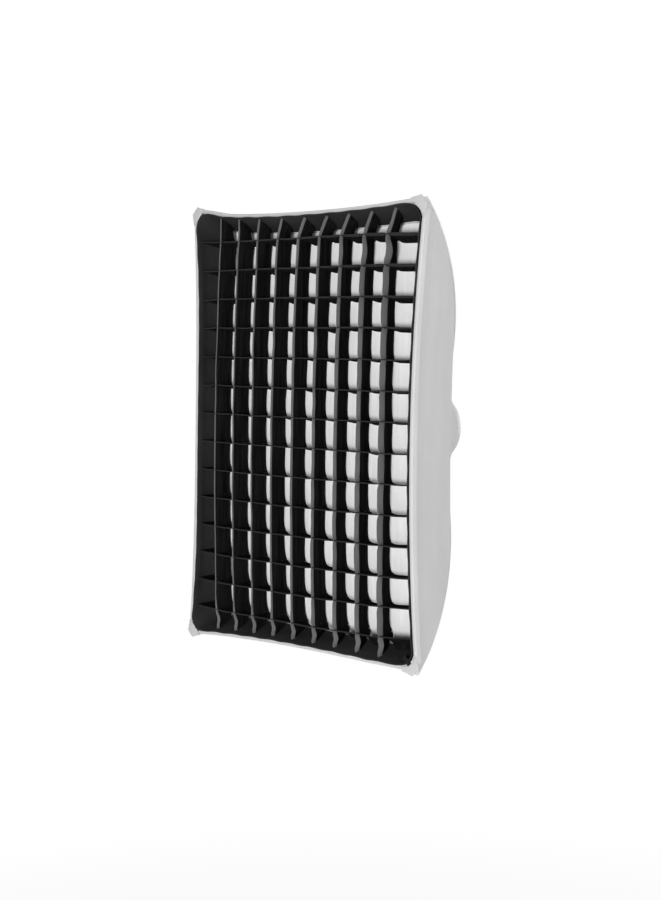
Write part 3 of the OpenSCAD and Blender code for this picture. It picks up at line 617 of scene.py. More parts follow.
# Piping along the four corner seams, and the thread of the hems and rod pockets
PIPING_R, PIPING_OUT, THREAD_OUT, POCKET = 2.1, 2.2, 0.25, 17.0
EDGE_STITCH, HEM_STITCH, STITCH_SPAN = 4.0, 3.0, 0.97
POCKET_BACK, POCKET_FRONT, PIPING_SHORT = 4, 2, 1
CORNERS = [(1, 1), (-1, 1), (-1, -1), (1, -1)]

piping = Cloth()
seam_u = np.linspace(REAR_U, DEPTH - PIPING_SHORT, 60)
seam = np.stack([half_w(seam_u, PIPING_OUT), half_h(seam_u, PIPING_OUT), seam_u], -1)
for sx, sy in CORNERS:
    piping.tube(flipped(seam, sx, sy), PIPING_R, sides=10)
piping.piece("corner_piping", [shell_seam], "softbox", "cloth_grey")

thread = Cloth()
line_v = np.linspace(-STITCH_SPAN, STITCH_SPAN, 90)
seams = [(DEPTH - EDGE_STITCH, HEM_EXTRA), (DEPTH - HEM + HEM_STITCH, HEM_EXTRA), (LIP_BACK, RIDGE)]
for u, extra in seams:
    side_line = side_pt(u, line_v, out=CLOTH_T + extra + THREAD_OUT)
    end_line = end_pt(u, line_v, out=CLOTH_T + extra + THREAD_OUT)
    for sign in (1, -1):
        thread.stitches(flipped(side_line, sign, 1))
        thread.stitches(flipped(end_line, 1, sign))
pocket_u = np.linspace(REAR_U + POCKET_BACK, DEPTH - HEM - POCKET_FRONT, 60)
side_line = side_pt(pocket_u, 1 - POCKET / half_h(pocket_u), out=CLOTH_T + THREAD_OUT)
end_line = end_pt(pocket_u, 1 - POCKET / half_w(pocket_u), out=CLOTH_T + THREAD_OUT)
for sx, sy in CORNERS:
    thread.stitches(flipped(side_line, sx, sy))
    thread.stitches(flipped(end_line, sx, sy))
thread.piece("shell_thread", [thread_pale], "softbox", "cloth_grey")

# ---- Rear collar ---------------------------------------------------------------------

GATHERS, GATHER_DEPTH, GATHER_FADE = 72, 1.3, 1.5
GATHER_DRIFT, DRIFT_TURNS = 0.7, 5
COLLAR_ROWS, COLLAR_SIDE = 18, 72


def collar_grid():
    """Middle of the collar, from its round end on the elastic to the shell's rear opening."""
    a, half = CORNER_ANGLE, math.pi
    angles = np.array([a, half - a, half + a, 2 * half - a, 2 * half + a])
    corners = corner_r(REAR_U, CLOTH_T / 2) * np.stack([np.cos(angles), np.sin(angles)], -1)
    t = (np.arange(COLLAR_SIDE) / COLLAR_SIDE)[:, None]
    turn = np.concatenate([a + (b - a) * t for a, b in zip(angles, angles[1:])])
    square = np.concatenate([a + (b - a) * t for a, b in zip(corners, corners[1:])])
    wave = np.sin(GATHERS * turn + GATHER_DRIFT * np.sin(DRIFT_TURNS * turn))
    grid = []
    for s in np.linspace(0, 1, COLLAR_ROWS):
        gather = np.maximum(0.0, GATHER_DEPTH * (1 - s) ** GATHER_FADE * wave)
        circle = (COLLAR_R + CLOTH_T / 2 + gather) * np.hstack([np.cos(turn), np.sin(turn)])
        u = np.full_like(turn, ELASTIC_U + (REAR_U - ELASTIC_U) * s)
        grid.append(np.hstack([circle + (square - circle) * s, u]))
    return np.array(grid)


COLLAR_T, ELASTIC_PINCH = CLOTH_T * 0.9, 0.07
collar = Cloth().slab(collar_grid(), COLLAR_T, closed=True, back=1, flip=True)
collar = collar.piece(
    "rear_collar_cloth", [shell_cloth, lining], "softbox", "cloth_grey", "rear_collar"
)

turn = np.linspace(0, 2 * math.pi, 288, endpoint=False)
elastic_r = COLLAR_R - SEAT_GAP - ELASTIC_D / 2
elastic_path = [elastic_r * np.cos(turn), elastic_r * np.sin(turn), np.full_like(turn, ELASTIC_U)]
elastic_girth = ELASTIC_D / 2 * (1 - ELASTIC_PINCH * (1 - np.cos(GATHERS * turn)))
elastic = Cloth().tube(np.stack(elastic_path, -1), elastic_girth, sides=12, closed=True)
elastic.piece("collar_elastic_cord", [webbing], "softbox", "cloth_black", "collar_elastic")

# ---- Front edge: lip, binding, corner patches ----------------------------------------


def front_loop(u, inset, side_steps=48, end_steps=36, corner_steps=10):
    """Closed loop of points round the inside of the walls at one station."""
    right = side_pt(u, np.linspace(-SIDE_END, SIDE_END, side_steps + 1), inset)
    top = end_pt(u, np.linspace(END_END, -END_END, end_steps + 1), inset)
    corner = corner_pt(u, np.linspace(0, 1, corner_steps + 1), inset)[1:-1]
    half = [right, corner, top, flipped(corner[::-1], -1, 1)]
    return np.concatenate(half + [flipped(part, -1, -1) for part in half])


def front_band(u0, u1, inset, thickness, rows):
    """Middle of a band round the inside of the walls, between two stations."""
    return np.array([front_loop(u, inset + thickness / 2) for u in np.linspace(u0, u1, rows)])


lip_mid = front_band(LIP_BACK, DEPTH, LIP_IN, LIP_T, 9)
lip = Cloth().slab(lip_mid, LIP_T, closed=True)
lip = lip.piece("front_lip_cloth", [binding], "softbox", "cloth_grey", "front_lip")
WALLS = ("right", "left", "top", "bottom")


def on_walls(side, end, thickness):
    """Cloth on all four walls, from its middle on the right wall and the top one."""
    cloth = Cloth()
    for sign in (1, -1):
        cloth.slab(flipped(side, sign, 1), thickness, flip=sign > 0)
        cloth.slab(flipped(end, 1, sign), thickness, flip=sign < 0)
    return cloth


def wall_tape(u0, u1, inset, rows=4, cols=60):
    """Tape on all four walls, which stops at the rounded corners."""
    us, inset = np.linspace(u0, u1, rows)[:, None], inset + TAPE_T / 2
    side = side_pt(us, np.linspace(-SIDE_END, SIDE_END, cols)[None], inset)
    end = end_pt(us, np.linspace(-END_END, END_END, cols)[None], inset)
    return on_walls(side, end, TAPE_T)


LOOP_EDGE, HOOK_EDGE = 1, 2
loop_tape = wall_tape(LIP_BACK + LOOP_EDGE, GRID_FRONT - LOOP_EDGE, LOOP_IN)
loop_tape.piece("lip_loop_tape_pile", [loop_pile], "softbox", "cloth_black", "lip_loop_tape")

# Binding tape folded over the front edge, between the corner patches
BIND_T, BIND_BACK, BIND_IN, BIND_OUT = 1.0, 11.0, 3.3, CLOTH_T + HEM_EXTRA + 0.9
BIND_STRAIGHT, BIND_NOSE, BIND_TUCK = 0.3, 1.5, 0.6
BIND_UNDER, BIND_RAMP, BIND_THIN, BIND_COLS = 14.0, 26.0, 0.08, 121


def binding_strip(point, half, sign_axis):
    """Middle of the tape on one wall, whose nose thins out under the corner patches."""
    leg_share = 1 - (GUSSET_LEG - BIND_UNDER) / half
    v = np.linspace(-leg_share, leg_share, BIND_COLS)
    ramp = BIND_THIN + (1 - BIND_THIN) * eased((leg_share - np.abs(v)) * half, 0, BIND_RAMP)
    middle, reach = (BIND_OUT - BIND_IN) / 2, (BIND_OUT + BIND_IN) / 2
    profile = [(BIND_OUT, -BIND_BACK), (BIND_OUT, -BIND_BACK / 2), (BIND_OUT, 0.0)]
    for a in np.linspace(0, math.pi, 11):
        profile.append((middle + reach * math.cos(a), BIND_STRAIGHT + BIND_NOSE * math.sin(a)))
    profile.append((-BIND_IN, BIND_TUCK))
    rows = []
    for off, ahead in profile:
        edge = point(DEPTH, v)
        edge[..., sign_axis] += off
        edge[..., 2] += np.where(ahead > 0, ahead * ramp, ahead)
        rows.append(edge)
    return np.array(rows)


side, end = binding_strip(side_pt, FRONT_H / 2, 0), binding_strip(end_pt, FRONT_W / 2, 1)
front_binding = on_walls(side, end, BIND_T)
front_binding.piece("front_binding", [binding], "softbox", "cloth_grey")

corner_x, corner_y = half_w(DEPTH, CLOTH_T), half_h(DEPTH, CLOTH_T)
PATCH_OUT, PATCH_CROWN, PATCH_STEPS = 1.0, 0.8, 14


def patch_grid():
    """Middle of the patch over the upper right corner, from the inner edge to the tip."""
    u = DEPTH + SEAT_GAP + GUSSET_T / 2

    def on_end(x, out):
        return np.array([x, corner_y + out, u + END_CROWN * (1 - (x / corner_x) ** 2)])

    def on_side(y, out):
        return np.array([corner_x + out, y, u + SIDE_CROWN * (1 - (y / corner_y) ** 2)])

    a, d = on_end(corner_x - GUSSET_LEG, PATCH_OUT), on_end(corner_x - TIP_HALF, TIP_OUT)
    b, c = on_side(corner_y - GUSSET_LEG, PATCH_OUT), on_side(corner_y - TIP_HALF, TIP_OUT)
    s = np.linspace(0, 1, PATCH_STEPS)[:, None, None]
    t = np.linspace(0, 1, 2 * PATCH_STEPS)[None, :, None]
    flat = (a + (d - a) * s) * (1 - t) + (b + (c - b) * s) * t
    flat[..., 2] += PATCH_CROWN * (16 * s * (1 - s) * t * (1 - t))[..., 0]
    return flat


patch = Cloth()
patch_mid = patch_grid()
for sx, sy in CORNERS:
    patch.slab(flipped(patch_mid, sx, sy), GUSSET_T, flip=sx * sy > 0)
patch.piece("corner_patches", [binding], "softbox", "cloth_grey", "corner_gussets")

# ---- Diffuser and baffle -------------------------------------------------------------


def filled(right, top):
    """Grid of points inside a loop that is the same left and right, and up and down.

    right runs up from the lower to the upper right corner, top runs from the left to the right.
    """
    left, bottom = flipped(right, -1, 1), flipped(top, 1, -1)
    t = np.linspace(0, 1, len(right))[:, None, None]
    s = np.linspace(0, 1, len(top))[None, :, None]
    edges = (1 - t) * bottom[None] + t * top[None] + (1 - s) * left[:, None] + s * right[:, None]
    low, high = ((1 - s) * left[k] + s * right[k] for k in (0, -1))
    return edges - ((1 - t) * low + t * high)


WAVE_SPREAD = (0.6, 1.6)


def gentle_waves(x, y, height, count, size):
    """Slow waves over a sheet, each about size long."""
    total = np.zeros_like(x)
    for _ in range(count):
        heading, phase = rng.uniform(0, math.pi), rng.uniform(0, 2 * math.pi)
        length = rng.uniform(*WAVE_SPREAD) * size
        place = x * math.cos(heading) + y * math.sin(heading)
        total += np.sin(2 * math.pi * place / length + phase)
    return height * total / math.sqrt(count)


half_corner = corner_pt(DIFFUSER_U, np.linspace(0, 0.5, 6), BORDER_IN)
rest_corner = corner_pt(DIFFUSER_U, np.linspace(1, 0.5, 6), BORDER_IN)
side_run = side_pt(DIFFUSER_U, np.linspace(-SIDE_END, SIDE_END, 73), BORDER_IN)
end_run = end_pt(DIFFUSER_U, np.linspace(-END_END, END_END, 49), BORDER_IN)
sheet_right = np.concatenate([flipped(half_corner[:0:-1], 1, -1), side_run, half_corner[1:]])
sheet_top = np.concatenate([flipped(rest_corner[:0:-1], -1, 1), end_run, rest_corner[1:]])
sheet_mid = filled(sheet_right, sheet_top)
sheet_x, sheet_y = sheet_mid[..., 0], sheet_mid[..., 1]
FULLNESS, DIFFUSER_WAVES = 4.5, (0.7, 9, 170.0)
sheet_full = (1 - (sheet_x / sheet_x.max()) ** 8) * (1 - (sheet_y / sheet_y.max()) ** 8)
sheet_u = DIFFUSER_U + SHEET_T / 2 + grid_crown(sheet_x, sheet_y) + FULLNESS * sheet_full
sheet_mid[..., 2] = sheet_u + gentle_waves(sheet_x, sheet_y, *DIFFUSER_WAVES)
diffuser = Cloth().slab(sheet_mid, SHEET_T, flip=True)
diffuser = diffuser.piece(
    "front_diffuser_cloth", [white_cloth], "softbox", "cloth_white", "front_diffuser"
)

HEM_BEHIND, HEM_FRONT = 5.0, 6.0
hem_mid = front_band(DIFFUSER_U - HEM_BEHIND, DIFFUSER_U + HEM_FRONT, HOOK_IN, TAPE_T, 4)
hem = Cloth().slab(hem_mid, TAPE_T, closed=True)
hem.piece("diffuser_hem_tape", [white_tape], "softbox", "cloth_white", "diffuser_hem")

baffle_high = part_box("inner_baffle")[1]
baffle_x, baffle_y = baffle_high[0] / MM, baffle_high[2] / MM


def rounded_edge(half_x, half_y, r=BAFFLE_RADIUS, steps=45):
    """Right edge of a rounded rectangle, from corner middle to corner middle."""
    arc = np.radians(np.linspace(0, 45, 7))[1:]
    turn = np.stack([half_x - r + r * np.cos(arc), half_y - r + r * np.sin(arc), 0 * arc], -1)
    straight = np.linspace(-1, 1, steps)[:, None] * [0, half_y - r, 0] + [half_x, 0, 0]
    return np.concatenate([flipped(turn[::-1], 1, -1), straight, turn])


baffle_top = rounded_edge(baffle_y, baffle_x)[:, [1, 0, 2]]
baffle_mid = filled(rounded_edge(baffle_x, baffle_y), baffle_top)
BAFFLE_SAG, BAFFLE_WAVES = 3.0, (0.8, 7, 120.0)
x, y = baffle_mid[..., 0], baffle_mid[..., 1]
inner = np.clip((1 - (x / baffle_x) ** 2) * (1 - (y / baffle_y) ** 2), 0, 1)
sag = inner * (BAFFLE_SAG + gentle_waves(x, y, *BAFFLE_WAVES))
baffle_mid[..., 2] = BAFFLE_U + SHEET_T / 2 - sag
baffle = Cloth().slab(baffle_mid, SHEET_T, flip=True)
baffle = baffle.piece("inner_baffle_cloth", [white_cloth], "softbox", "cloth_white", "inner_baffle")

STRAP_SLACK, WEB_SHARE = 0.5, 0.95  # webbing is drawn a little thinner than its solid
strap_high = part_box("baffle_straps")[1]
strap_u = BAFFLE_U + SHEET_T + SEAT_GAP + STRAP_T / 2
strap_y, strap_x = STRAP_SHARE * half_h(strap_u), STRAP_SHARE * half_w(strap_u)


def strap_grid(edge, wall, beside):
    """Middle of a strap that runs out along x, from over the baffle's edge to the wall."""
    share = np.linspace(0, 1, 22)
    run = edge - STRAP_LAP + share * (wall - edge + STRAP_LAP)
    height = strap_u + STRAP_SLACK * np.sin(math.pi * share) ** 2
    across = beside + np.linspace(-STRAP_W / 2, STRAP_W / 2, 7)
    return np.array([[(x, y, u) for y in across] for x, u in zip(run, height)])


side_strap = strap_grid(baffle_x, strap_high[0] / MM, strap_y)
end_strap = strap_grid(baffle_y, strap_high[2] / MM, strap_x)[..., [1, 0, 2]]
straps = Cloth()
for sx, sy in CORNERS:
    straps.slab(flipped(side_strap, sx, sy), STRAP_T * WEB_SHARE)
    straps.slab(flipped(end_strap, sx, sy), STRAP_T * WEB_SHARE)
straps.piece("baffle_strap_webbing", [webbing], "softbox", "cloth_black", "baffle_straps")

# ---- Grid ----------------------------------------------------------------------------

BORDER_AHEAD, BORDER_CORNER, BORDER_HEM_T, BORDER_EDGE_T = 8.0, 30.0, 2.6, 1.3
BORDER_HEM_STEPS = np.array([0.4, 0.8, 1.0])
SCALLOP, SCALLOP_RUN, LEFT_DRAW = 1.2, 12.0, 9.0


def left_draw(y):
    """How far the slats draw the front of the left border in, most at the middle of its height."""
    return LEFT_DRAW * np.clip(1 - (y / half_h(GRID_FRONT)) ** 2, 0, 1)


border_u = np.linspace(GRID_BACK, GRID_FRONT, 9)
border_u = np.append(border_u, GRID_FRONT + BORDER_AHEAD * BORDER_HEM_STEPS)
border_mid = np.array([front_loop(u, BORDER_IN + BORDER_T / 2, 120, 100) for u in border_u])
border_x, border_y = border_mid[..., 0], border_mid[..., 1]
on_end = np.abs(border_y[:1]) > half_h(GRID_BACK, -BORDER_CORNER)
on_side = np.abs(border_x[:1]) > half_w(GRID_BACK, -BORDER_CORNER)
near_front = np.clip((border_u - GRID_FRONT + SCALLOP_RUN) / SCALLOP_RUN, 0, 1)[:, None]
slack = SCALLOP * near_front
end_slack = slack * np.sin(math.pi * border_x / CELL_W) ** 2 * (on_end & ~on_side)
side_slack = slack * np.cos(math.pi * border_y / CELL_H) ** 2 * (on_side & ~on_end)
side_slack = side_slack - left_draw(border_y) * near_front * (border_x < 0) * on_side
border_mid[..., 0] += np.sign(border_x) * side_slack
border_mid[..., 1] += np.sign(border_y) * end_slack
border_t = np.where(border_u > GRID_FRONT, BORDER_HEM_T, BORDER_T)
border_t[-1] = BORDER_EDGE_T
border = Cloth().slab(border_mid, border_t[:, None], closed=True)
border = border.piece(
    "grid_border_cloth", [border_cloth], "grid", "cloth_black",
    *[f"grid_border_{wall}" for wall in WALLS], "grid_corners",
)

hook_tape = wall_tape(GRID_BACK + HOOK_EDGE, GRID_FRONT - HOOK_EDGE, HOOK_IN)
hook_tape.piece("grid_hook_tape_pile", [hook_pile], "grid", "cloth_black", "grid_hook_tape")

# Slats: cloth strips with a slack front hem, slotted half through at each crossing
SLAT_T, HEM_T, HEM_EDGE_T, SLOT_W, LAP = 1.2, 1.8, 1.08, 1.0, 0.5
HEM_ROWS, FRONT_ROWS, BACK_ROWS, CELL_STEPS = 4, 5, 6, 10
HEM_PINCH, HEM_HELD = 10.0, 0.45
JITTER = np.array([0.7, 1.2])  # of the crossings, at the front and the back
DRIFT, FLARE, BACK_SAG = 2.5, 3.5, 1.5


jitter = rng.uniform(-1, 1, (2, GRID_COLS + 1, GRID_ROWS + 1, 2)) * JITTER[:, None, None, None]


def back_drift(i):
    """How far the slack back edge of an upright hangs to the left."""
    share = (GRID_COLS - 1 - i) / (GRID_COLS - 2)
    return DRIFT * (1 + share + share**6) - FLARE


def crossing_line(i, j):
    """Front and back end of the line where two slats cross, a little off as in hand-sewn cloth."""
    ahead = grid_crown(upright_at(i, 0), cross_at(j, 0))
    d = np.array([0.0, 1.0])
    s = d - ahead / SLAT_DEPTH
    u = GRID_FRONT + ahead - d * SLAT_DEPTH
    line = np.stack([upright_at(i, s), cross_at(j, s), u], -1)
    line[:, :2] += jitter[:, i, j]
    line[1] -= [back_drift(i), BACK_SAG * (j > GRID_ROWS / 3), 0]
    return line


HEAD_AHEAD, HEAD_AHEAD_LOSS = 6.0, 2.0
HEAD_SHIFT, SHIFT_FROM, SHIFT_TO = 21.0, 0.1, 0.6


def upright_end(i, sign):
    """Where an upright meets the top or bottom border, ahead and leaning right at the top."""
    front, shift, d = GRID_FRONT, 0.0, np.array([0.0, 1.0])
    if sign > 0:
        share = (i - 1) / (GRID_COLS - 2)
        front = GRID_FRONT + HEAD_AHEAD - HEAD_AHEAD_LOSS * share
        shift = HEAD_SHIFT * eased(share, SHIFT_FROM, SHIFT_TO)
    u, x = np.array([front, GRID_BACK]), upright_at(i, d) - d * back_drift(i) + shift
    return flipped(end_pt(u, x / half_w(u), BORDER_IN + BORDER_T), 1, sign)


def cross_end(j, sign):
    """Where a cross slat meets the right or left border."""
    u, y = np.array([GRID_FRONT, GRID_BACK]), cross_at(j, np.array([0.0, 1.0]))
    return flipped(side_pt(u, y / half_h(u), BORDER_IN + BORDER_T), sign, 1)


def slat_grid(lines, hem, tilt, swing, scallop, ride, lateral, square):
    """Middle of a slat through its crossing lines, and the columns that lie in a slot.

    Each cell has the length and tilt of its front hem, its sideways swing at the front and the
    back, and how far its back edge rides forward. ride adds to that at the slat's first and last
    end, lateral is the direction of the swing, and square says that the back half swings as one
    from the start of each cell.
    """
    cols, cells = [], len(lines) - 1
    middles = np.arange(cells) + 0.5
    for k in range(cells):
        a, b = lines[k], lines[k + 1]
        length = np.linalg.norm(b[0] - a[0])
        t0 = SLOT_W / 2 / length if k > 0 else 0.0
        t1 = 1 - SLOT_W / 2 / length if k < cells - 1 else 1.0
        for t in np.linspace(t0, t1, CELL_STEPS + 1):
            hump = 16 * t * t * (1 - t) ** 2
            free = min(1.0, min(t, 1 - t) * length / HEM_PINCH)
            fold = np.interp(k + t, middles, hem)
            lean = np.interp(k + t, middles, tilt) * (HEM_HELD + (1 - HEM_HELD) * free)
            front, back = a + (b - a) * t
            crease = fold * math.cos(lean) / SLAT_DEPTH
            d = np.linspace(crease, LAP, FRONT_ROWS)
            d = np.concatenate([d, np.linspace(LAP, 1, BACK_ROWS)[1:]])[:, None]
            if square:
                hang = (1 - t**9) * np.clip((d - LAP) / (1 - LAP), 0, 1)
            else:
                hang = (1 - (2 * t - 1) ** 6) * d**1.2
            sway = hump * swing[k][0] * (1 - d) + hang * swing[k][1]
            body = front + (back - front) * d + lateral * sway
            to_first, to_last = max(0.0, 1 - k - t), max(0.0, k + t + 1 - cells)
            forward = scallop[k] * hump + ride[0] * to_first + ride[1] * to_last
            body[:, 2] += forward * d[:, 0] ** 3
            ahead = unit(front - back) * math.cos(lean) + lateral * math.sin(lean)
            strip = body[0] + ahead * fold * np.linspace(1, 0, HEM_ROWS, endpoint=False)[:, None]
            cols.append(np.concatenate([strip, body]))
    in_slot = np.arange(len(cols) - 1) % (CELL_STEPS + 1) == CELL_STEPS
    return np.stack(cols, axis=1), in_slot


def slat(node, mid, in_slot, slotted_at_front, hem_cloth):
    """One slat, slotted from its front or its back edge."""
    row = np.arange(len(mid) - 1)
    slotted = (row < HEM_ROWS + FRONT_ROWS - 1) == slotted_at_front
    keep = ~(slotted[:, None] & in_slot[None, :])
    thickness = np.where(np.arange(len(mid)) <= HEM_ROWS, HEM_T, SLAT_T)
    thickness[0] = HEM_EDGE_T
    # Hem rows take the hem cloth, which on the uprights is a painted highlight grey.
    paint = (row < HEM_ROWS).astype(int)[:, None]
    cloth = Cloth().slab(mid, thickness[:, None], keep=keep, paint=paint)
    obj = cloth.piece(node + "_cloth", [slat_cloth, hem_cloth], "grid", "cloth_black", node)


RIGHTWARD, UPWARD = np.array([1.0, 0, 0]), np.array([0, 1.0, 0])
UPRIGHT_HEM, HEM_GAIN, HEM_FLARE, HEM_SPREAD = 1.6, 2.6, 8.4, (0.85, 1.2)
UPRIGHT_TILT, UPRIGHT_SWAY, UPRIGHT_HANG = (30, 42), 0.6, (0.2, 2.4)
UPRIGHT_SCALLOP, UPRIGHT_RIDE, TWIST = (0.2, 2.0), (17.0, 10.0), 10.0
HEAD_HEM, HEAD_HEM_GAIN = 5.5, 1.3
FOOT_HEM, FOOT_TILT, FOOT_SWING = 5.0, -56.0, (6.0, 1.0 - FLARE)
for i in range(1, GRID_COLS):
    share = (i - 1) / (GRID_COLS - 2)
    lines = [crossing_line(i, j) for j in range(1, GRID_ROWS)]
    lines = [upright_end(i, 1), *lines, upright_end(i, -1)]
    hem = UPRIGHT_HEM + HEM_GAIN * share + HEM_FLARE * share**3
    hem = hem * rng.uniform(*HEM_SPREAD, GRID_ROWS)
    tilt = -rng.uniform(*UPRIGHT_TILT, GRID_ROWS)
    sway = rng.normal(0, UPRIGHT_SWAY, GRID_ROWS)
    swing = np.stack([sway, -FLARE - rng.uniform(*UPRIGHT_HANG, GRID_ROWS)], -1)
    swing[1, 0] += TWIST * share**6
    hem[0] = min(HEAD_HEM_GAIN * hem[0], HEAD_HEM)
    hem[-1], tilt[-1], swing[-1] = FOOT_HEM * (1 + share), FOOT_TILT, FOOT_SWING
    scallop, tilt = rng.uniform(*UPRIGHT_SCALLOP, GRID_ROWS), np.radians(tilt)
    mid, in_slot = slat_grid(lines, hem, tilt, swing, scallop, UPRIGHT_RIDE, RIGHTWARD, True)
    # The upright's hem rows take the painted highlight grey.
    slat(f"upright_slat_{i}", mid, in_slot, False, slat_hem_painted_highlight)

CROSS_HEM, CROSS_SPREAD, TOP_ROWS, TOP_HEM_GAIN = 2.0, (0.8, 1.2), 4, 6.0
CROSS_TILT, CROSS_SWAY, CROSS_SAG, CROSS_SCALLOP = (28, 42), (0, 1.0), (3.0, 7.0), (0.4, 3.0)
FOOT_DROOP, DROOP_RIDE = 34.0, 0.35
to_right = (np.arange(GRID_COLS) / (GRID_COLS - 1)) ** 2
for j in range(1, GRID_ROWS):
    lines = [crossing_line(i, j) for i in range(1, GRID_COLS)]
    lines = [cross_end(j, -1), *lines, cross_end(j, 1)]
    hem = CROSS_HEM * rng.uniform(*CROSS_SPREAD, GRID_COLS)
    hem += TOP_HEM_GAIN * to_right * max(0.0, 1 - (j - 1) / TOP_ROWS)
    tilt = rng.uniform(*CROSS_TILT, GRID_COLS) * (1 if j <= TOP_ROWS else -1)
    sway = -rng.uniform(*CROSS_SWAY, GRID_COLS)
    droop = FOOT_DROOP * to_right * (j == GRID_ROWS - 1)
    swing = np.stack([sway, -rng.uniform(*CROSS_SAG, GRID_COLS) - droop], -1)
    scallop = rng.uniform(*CROSS_SCALLOP, GRID_COLS) + DROOP_RIDE * droop
    tilt = np.radians(tilt)
    mid, in_slot = slat_grid(lines, hem, tilt, swing, scallop, (0.0, 0.0), UPWARD, False)
    # The first cell follows the left border's front
    first = mid[:, : CELL_STEPS + 1]
    near = np.clip(1 - (lines[0][0, 2] - first[..., 2]) / SCALLOP_RUN, 0, 1)
    first[..., 0] += left_draw(cross_at(j, 0)) * near * np.linspace(1, 0, CELL_STEPS + 1) ** 2
    slat(f"cross_slat_{j}", mid, in_slot, True, cross_hem)

# Webbing tab that pulls the grid off, over the lower right corner patch
tab_low, tab_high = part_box("grid_pull_tab")
tab_face = -tab_low[1] / MM - TAB_T / 2
tab_over = GRID_FRONT + BORDER_AHEAD + TAB_T
TAB_END = 5.0
# How far out along the corner's diagonal, and how far forward
tab_path = [(0.0, GRID_FRONT - TAB_LEG), (0.0, GRID_FRONT), (0.2, tab_over - 3.0)]
tab_path += [(0.9, tab_over - 0.6), (2.4, tab_over), (5.0, tab_over)]
tab_path += [(9.0, (tab_over + tab_face) / 2), (TAB_OUT + TAB_END, tab_face)]
tab_path = np.array(tab_path)
fine = np.linspace(0, len(tab_path) - 1, 33)
tab_out, tab_u = (np.interp(fine, range(len(tab_path)), run)[:, None, None] for run in tab_path.T)
diagonal, sideways = math.sqrt(0.5) * np.array([[1, 1, 0], [1, -1, 0]])
tab_start = np.array([tab_high[0] / MM, -tab_low[2] / MM]) - math.sqrt(0.5) * (TAB_OUT + TAB_W / 2)
tab_across = np.linspace(-TAB_W / 2, TAB_W / 2, 7)[:, None]
tab_mid = [*tab_start, 0] + diagonal * tab_out + sideways * tab_across + [0, 0, 1] * tab_u
tab = Cloth().slab(flipped(tab_mid, 1, -1), TAB_T * WEB_SHARE)
tab.piece("grid_pull_tab_webbing", [webbing], "grid", "cloth_black", "grid_pull_tab")

# ---- Camera, light and stage ---------------------------------------------------------

scene = bpy.context.scene
scene.view_settings.view_transform = "Standard"
AZIMUTH, ELEVATION, ROLL = 41.81, 3.39, math.radians(0.94)
DISTANCE, LENS, CLIP_END = 3.0605, 63.01, 100
TARGET = Vector((0.07917, -GRID_FRONT * MM, -0.03182))
LIGHT_AIM = Vector((0, -0.25, 0))


def direction(azimuth, elevation):
    """Way from the part towards a place, by the place's angles from the front in degrees."""
    a, e = math.radians(azimuth), math.radians(elevation)
    return Vector((math.sin(a) * math.cos(e), -math.cos(a) * math.cos(e), math.sin(e)))


away, right = direction(AZIMUTH, ELEVATION), direction(AZIMUTH + 90, 0)
up = away.cross(right)
rolled_right = right * math.cos(ROLL) + up * math.sin(ROLL)
rolled_up = up * math.cos(ROLL) - right * math.sin(ROLL)
turned = Matrix((rolled_right, rolled_up, away)).transposed().to_4x4()
camera_data = bpy.data.cameras.new("camera")
camera_data.lens, camera_data.clip_end = LENS, CLIP_END
camera = bpy.data.objects.new("camera", camera_data)
camera.matrix_world = Matrix.Translation(TARGET + away * DISTANCE) @ turned
scene.collection.objects.link(camera)
scene.camera = camera

# Round soft lights that look at the middle of the front: name, direction, distance, size, power
LIGHTS = [
    ("key", 24, -3, 4.5, 1.2, 158),
    ("side_fill", 102, 16, 4.0, 2.0, 80),
    ("top_fill", 40, 78, 4.0, 2.5, 30),
    ("back_fill", 205, 30, 4.0, 2.5, 60),
]
for name, azimuth, elevation, distance, size, power in LIGHTS:
    lamp = bpy.data.lights.new(name, "AREA")
    lamp.shape, lamp.size, lamp.energy = "DISK", size, power
    light = bpy.data.objects.new(name, lamp)
    way = direction(azimuth, elevation)
    light.location = LIGHT_AIM + way * distance
    light.rotation_euler = way.to_track_quat("Z", "Y").to_euler()
    scene.collection.objects.link(light)

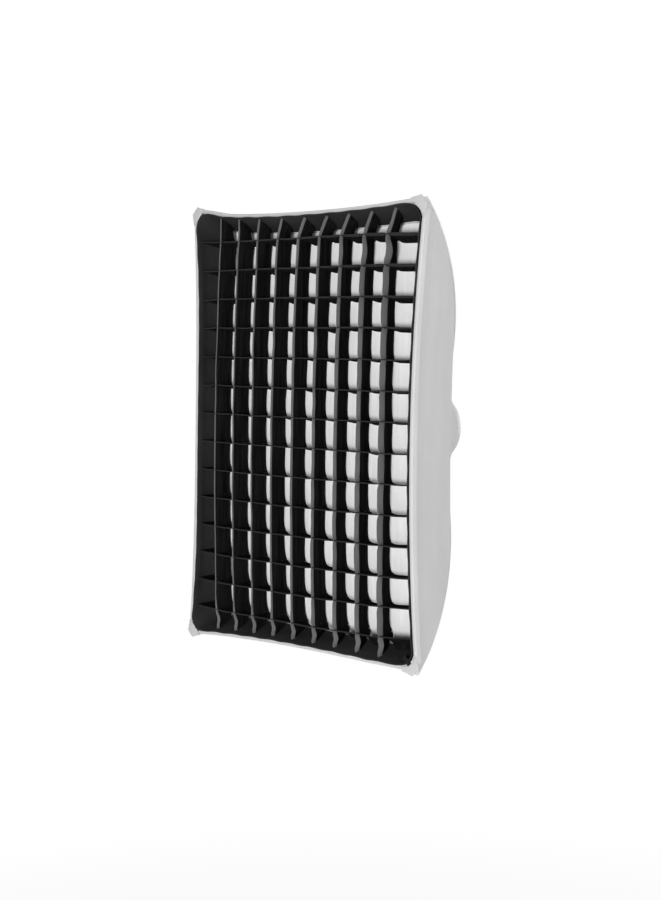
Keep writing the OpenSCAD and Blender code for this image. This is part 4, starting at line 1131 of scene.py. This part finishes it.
# A white background for the camera, and a dimmer one for the light that falls on the part
WHITE, AMBIENT = (1, 1, 1, 1), 0.28
world = bpy.data.worlds.new("studio")
world.use_nodes = True
scene.world = world
tree = world.node_tree
lit = tree.nodes["Background"]
lit.inputs["Color"].default_value = WHITE
lit.inputs["Strength"].default_value = AMBIENT
shown = add_node(tree, "ShaderNodeBackground", {"Color": WHITE, "Strength": 1.0})
inputs = {0: seen_ray(tree), 1: lit.outputs[0], 2: shown.outputs[0]}
mixed = add_node(tree, "ShaderNodeMixShader", inputs)
tree.links.new(mixed.outputs[0], tree.nodes["World Output"].inputs["Surface"])

# A floor that glows to white away from the part
FLOOR_Z, FLOOR_HALF, FLOOR_STEPS = -1.6, 30.0, 13
GLOW_FROM, GLOW_TO, GLOW_LEAST = 0.8, 2.4, 0.7
steps = np.linspace(-FLOOR_HALF, FLOOR_HALF, FLOOR_STEPS)
floor_verts = [(x, y, FLOOR_Z) for y in steps for x in steps]
firsts = [i * FLOOR_STEPS + j for i in range(FLOOR_STEPS - 1) for j in range(FLOOR_STEPS - 1)]
floor_faces = [(k, k + 1, k + FLOOR_STEPS + 1, k + FLOOR_STEPS) for k in firsts]
floor_mesh = bpy.data.meshes.new("floor")
floor_mesh.from_pydata(floor_verts, [], floor_faces)
floor = bpy.data.objects.new("floor", floor_mesh)
scene.collection.objects.link(floor)
paper = Finish("floor_paper", 0.95, specular=0.1)
paper.colour(0.86, 0.88, paper.noise(0.8, 2.0))
glow = paper.add("ShaderNodeEmission", {"Color": WHITE, "Strength": 1.0})
place = paper.add("ShaderNodeSeparateXYZ", {0: paper.coords("Object")}).outputs
place = paper.add("ShaderNodeCombineXYZ", {0: place[0], 1: place[1]}).outputs[0]
radius = paper.add("ShaderNodeVectorMath", {0: place}, operation="LENGTH").outputs["Value"]
inputs = {0: radius, 1: GLOW_FROM, 2: GLOW_TO, 3: GLOW_LEAST, 4: 1.0}
share = paper.add("ShaderNodeMapRange", inputs).outputs[0]
share = paper.math("MULTIPLY", seen_ray(paper.tree), share)
inputs = {0: share, 1: paper.shader.outputs[0], 2: glow.outputs[0]}
blend = paper.add("ShaderNodeMixShader", inputs).outputs[0]
paper.tree.links.new(blend, paper.tree.nodes["Material Output"].inputs["Surface"])
floor_mesh.materials.append(paper.material)
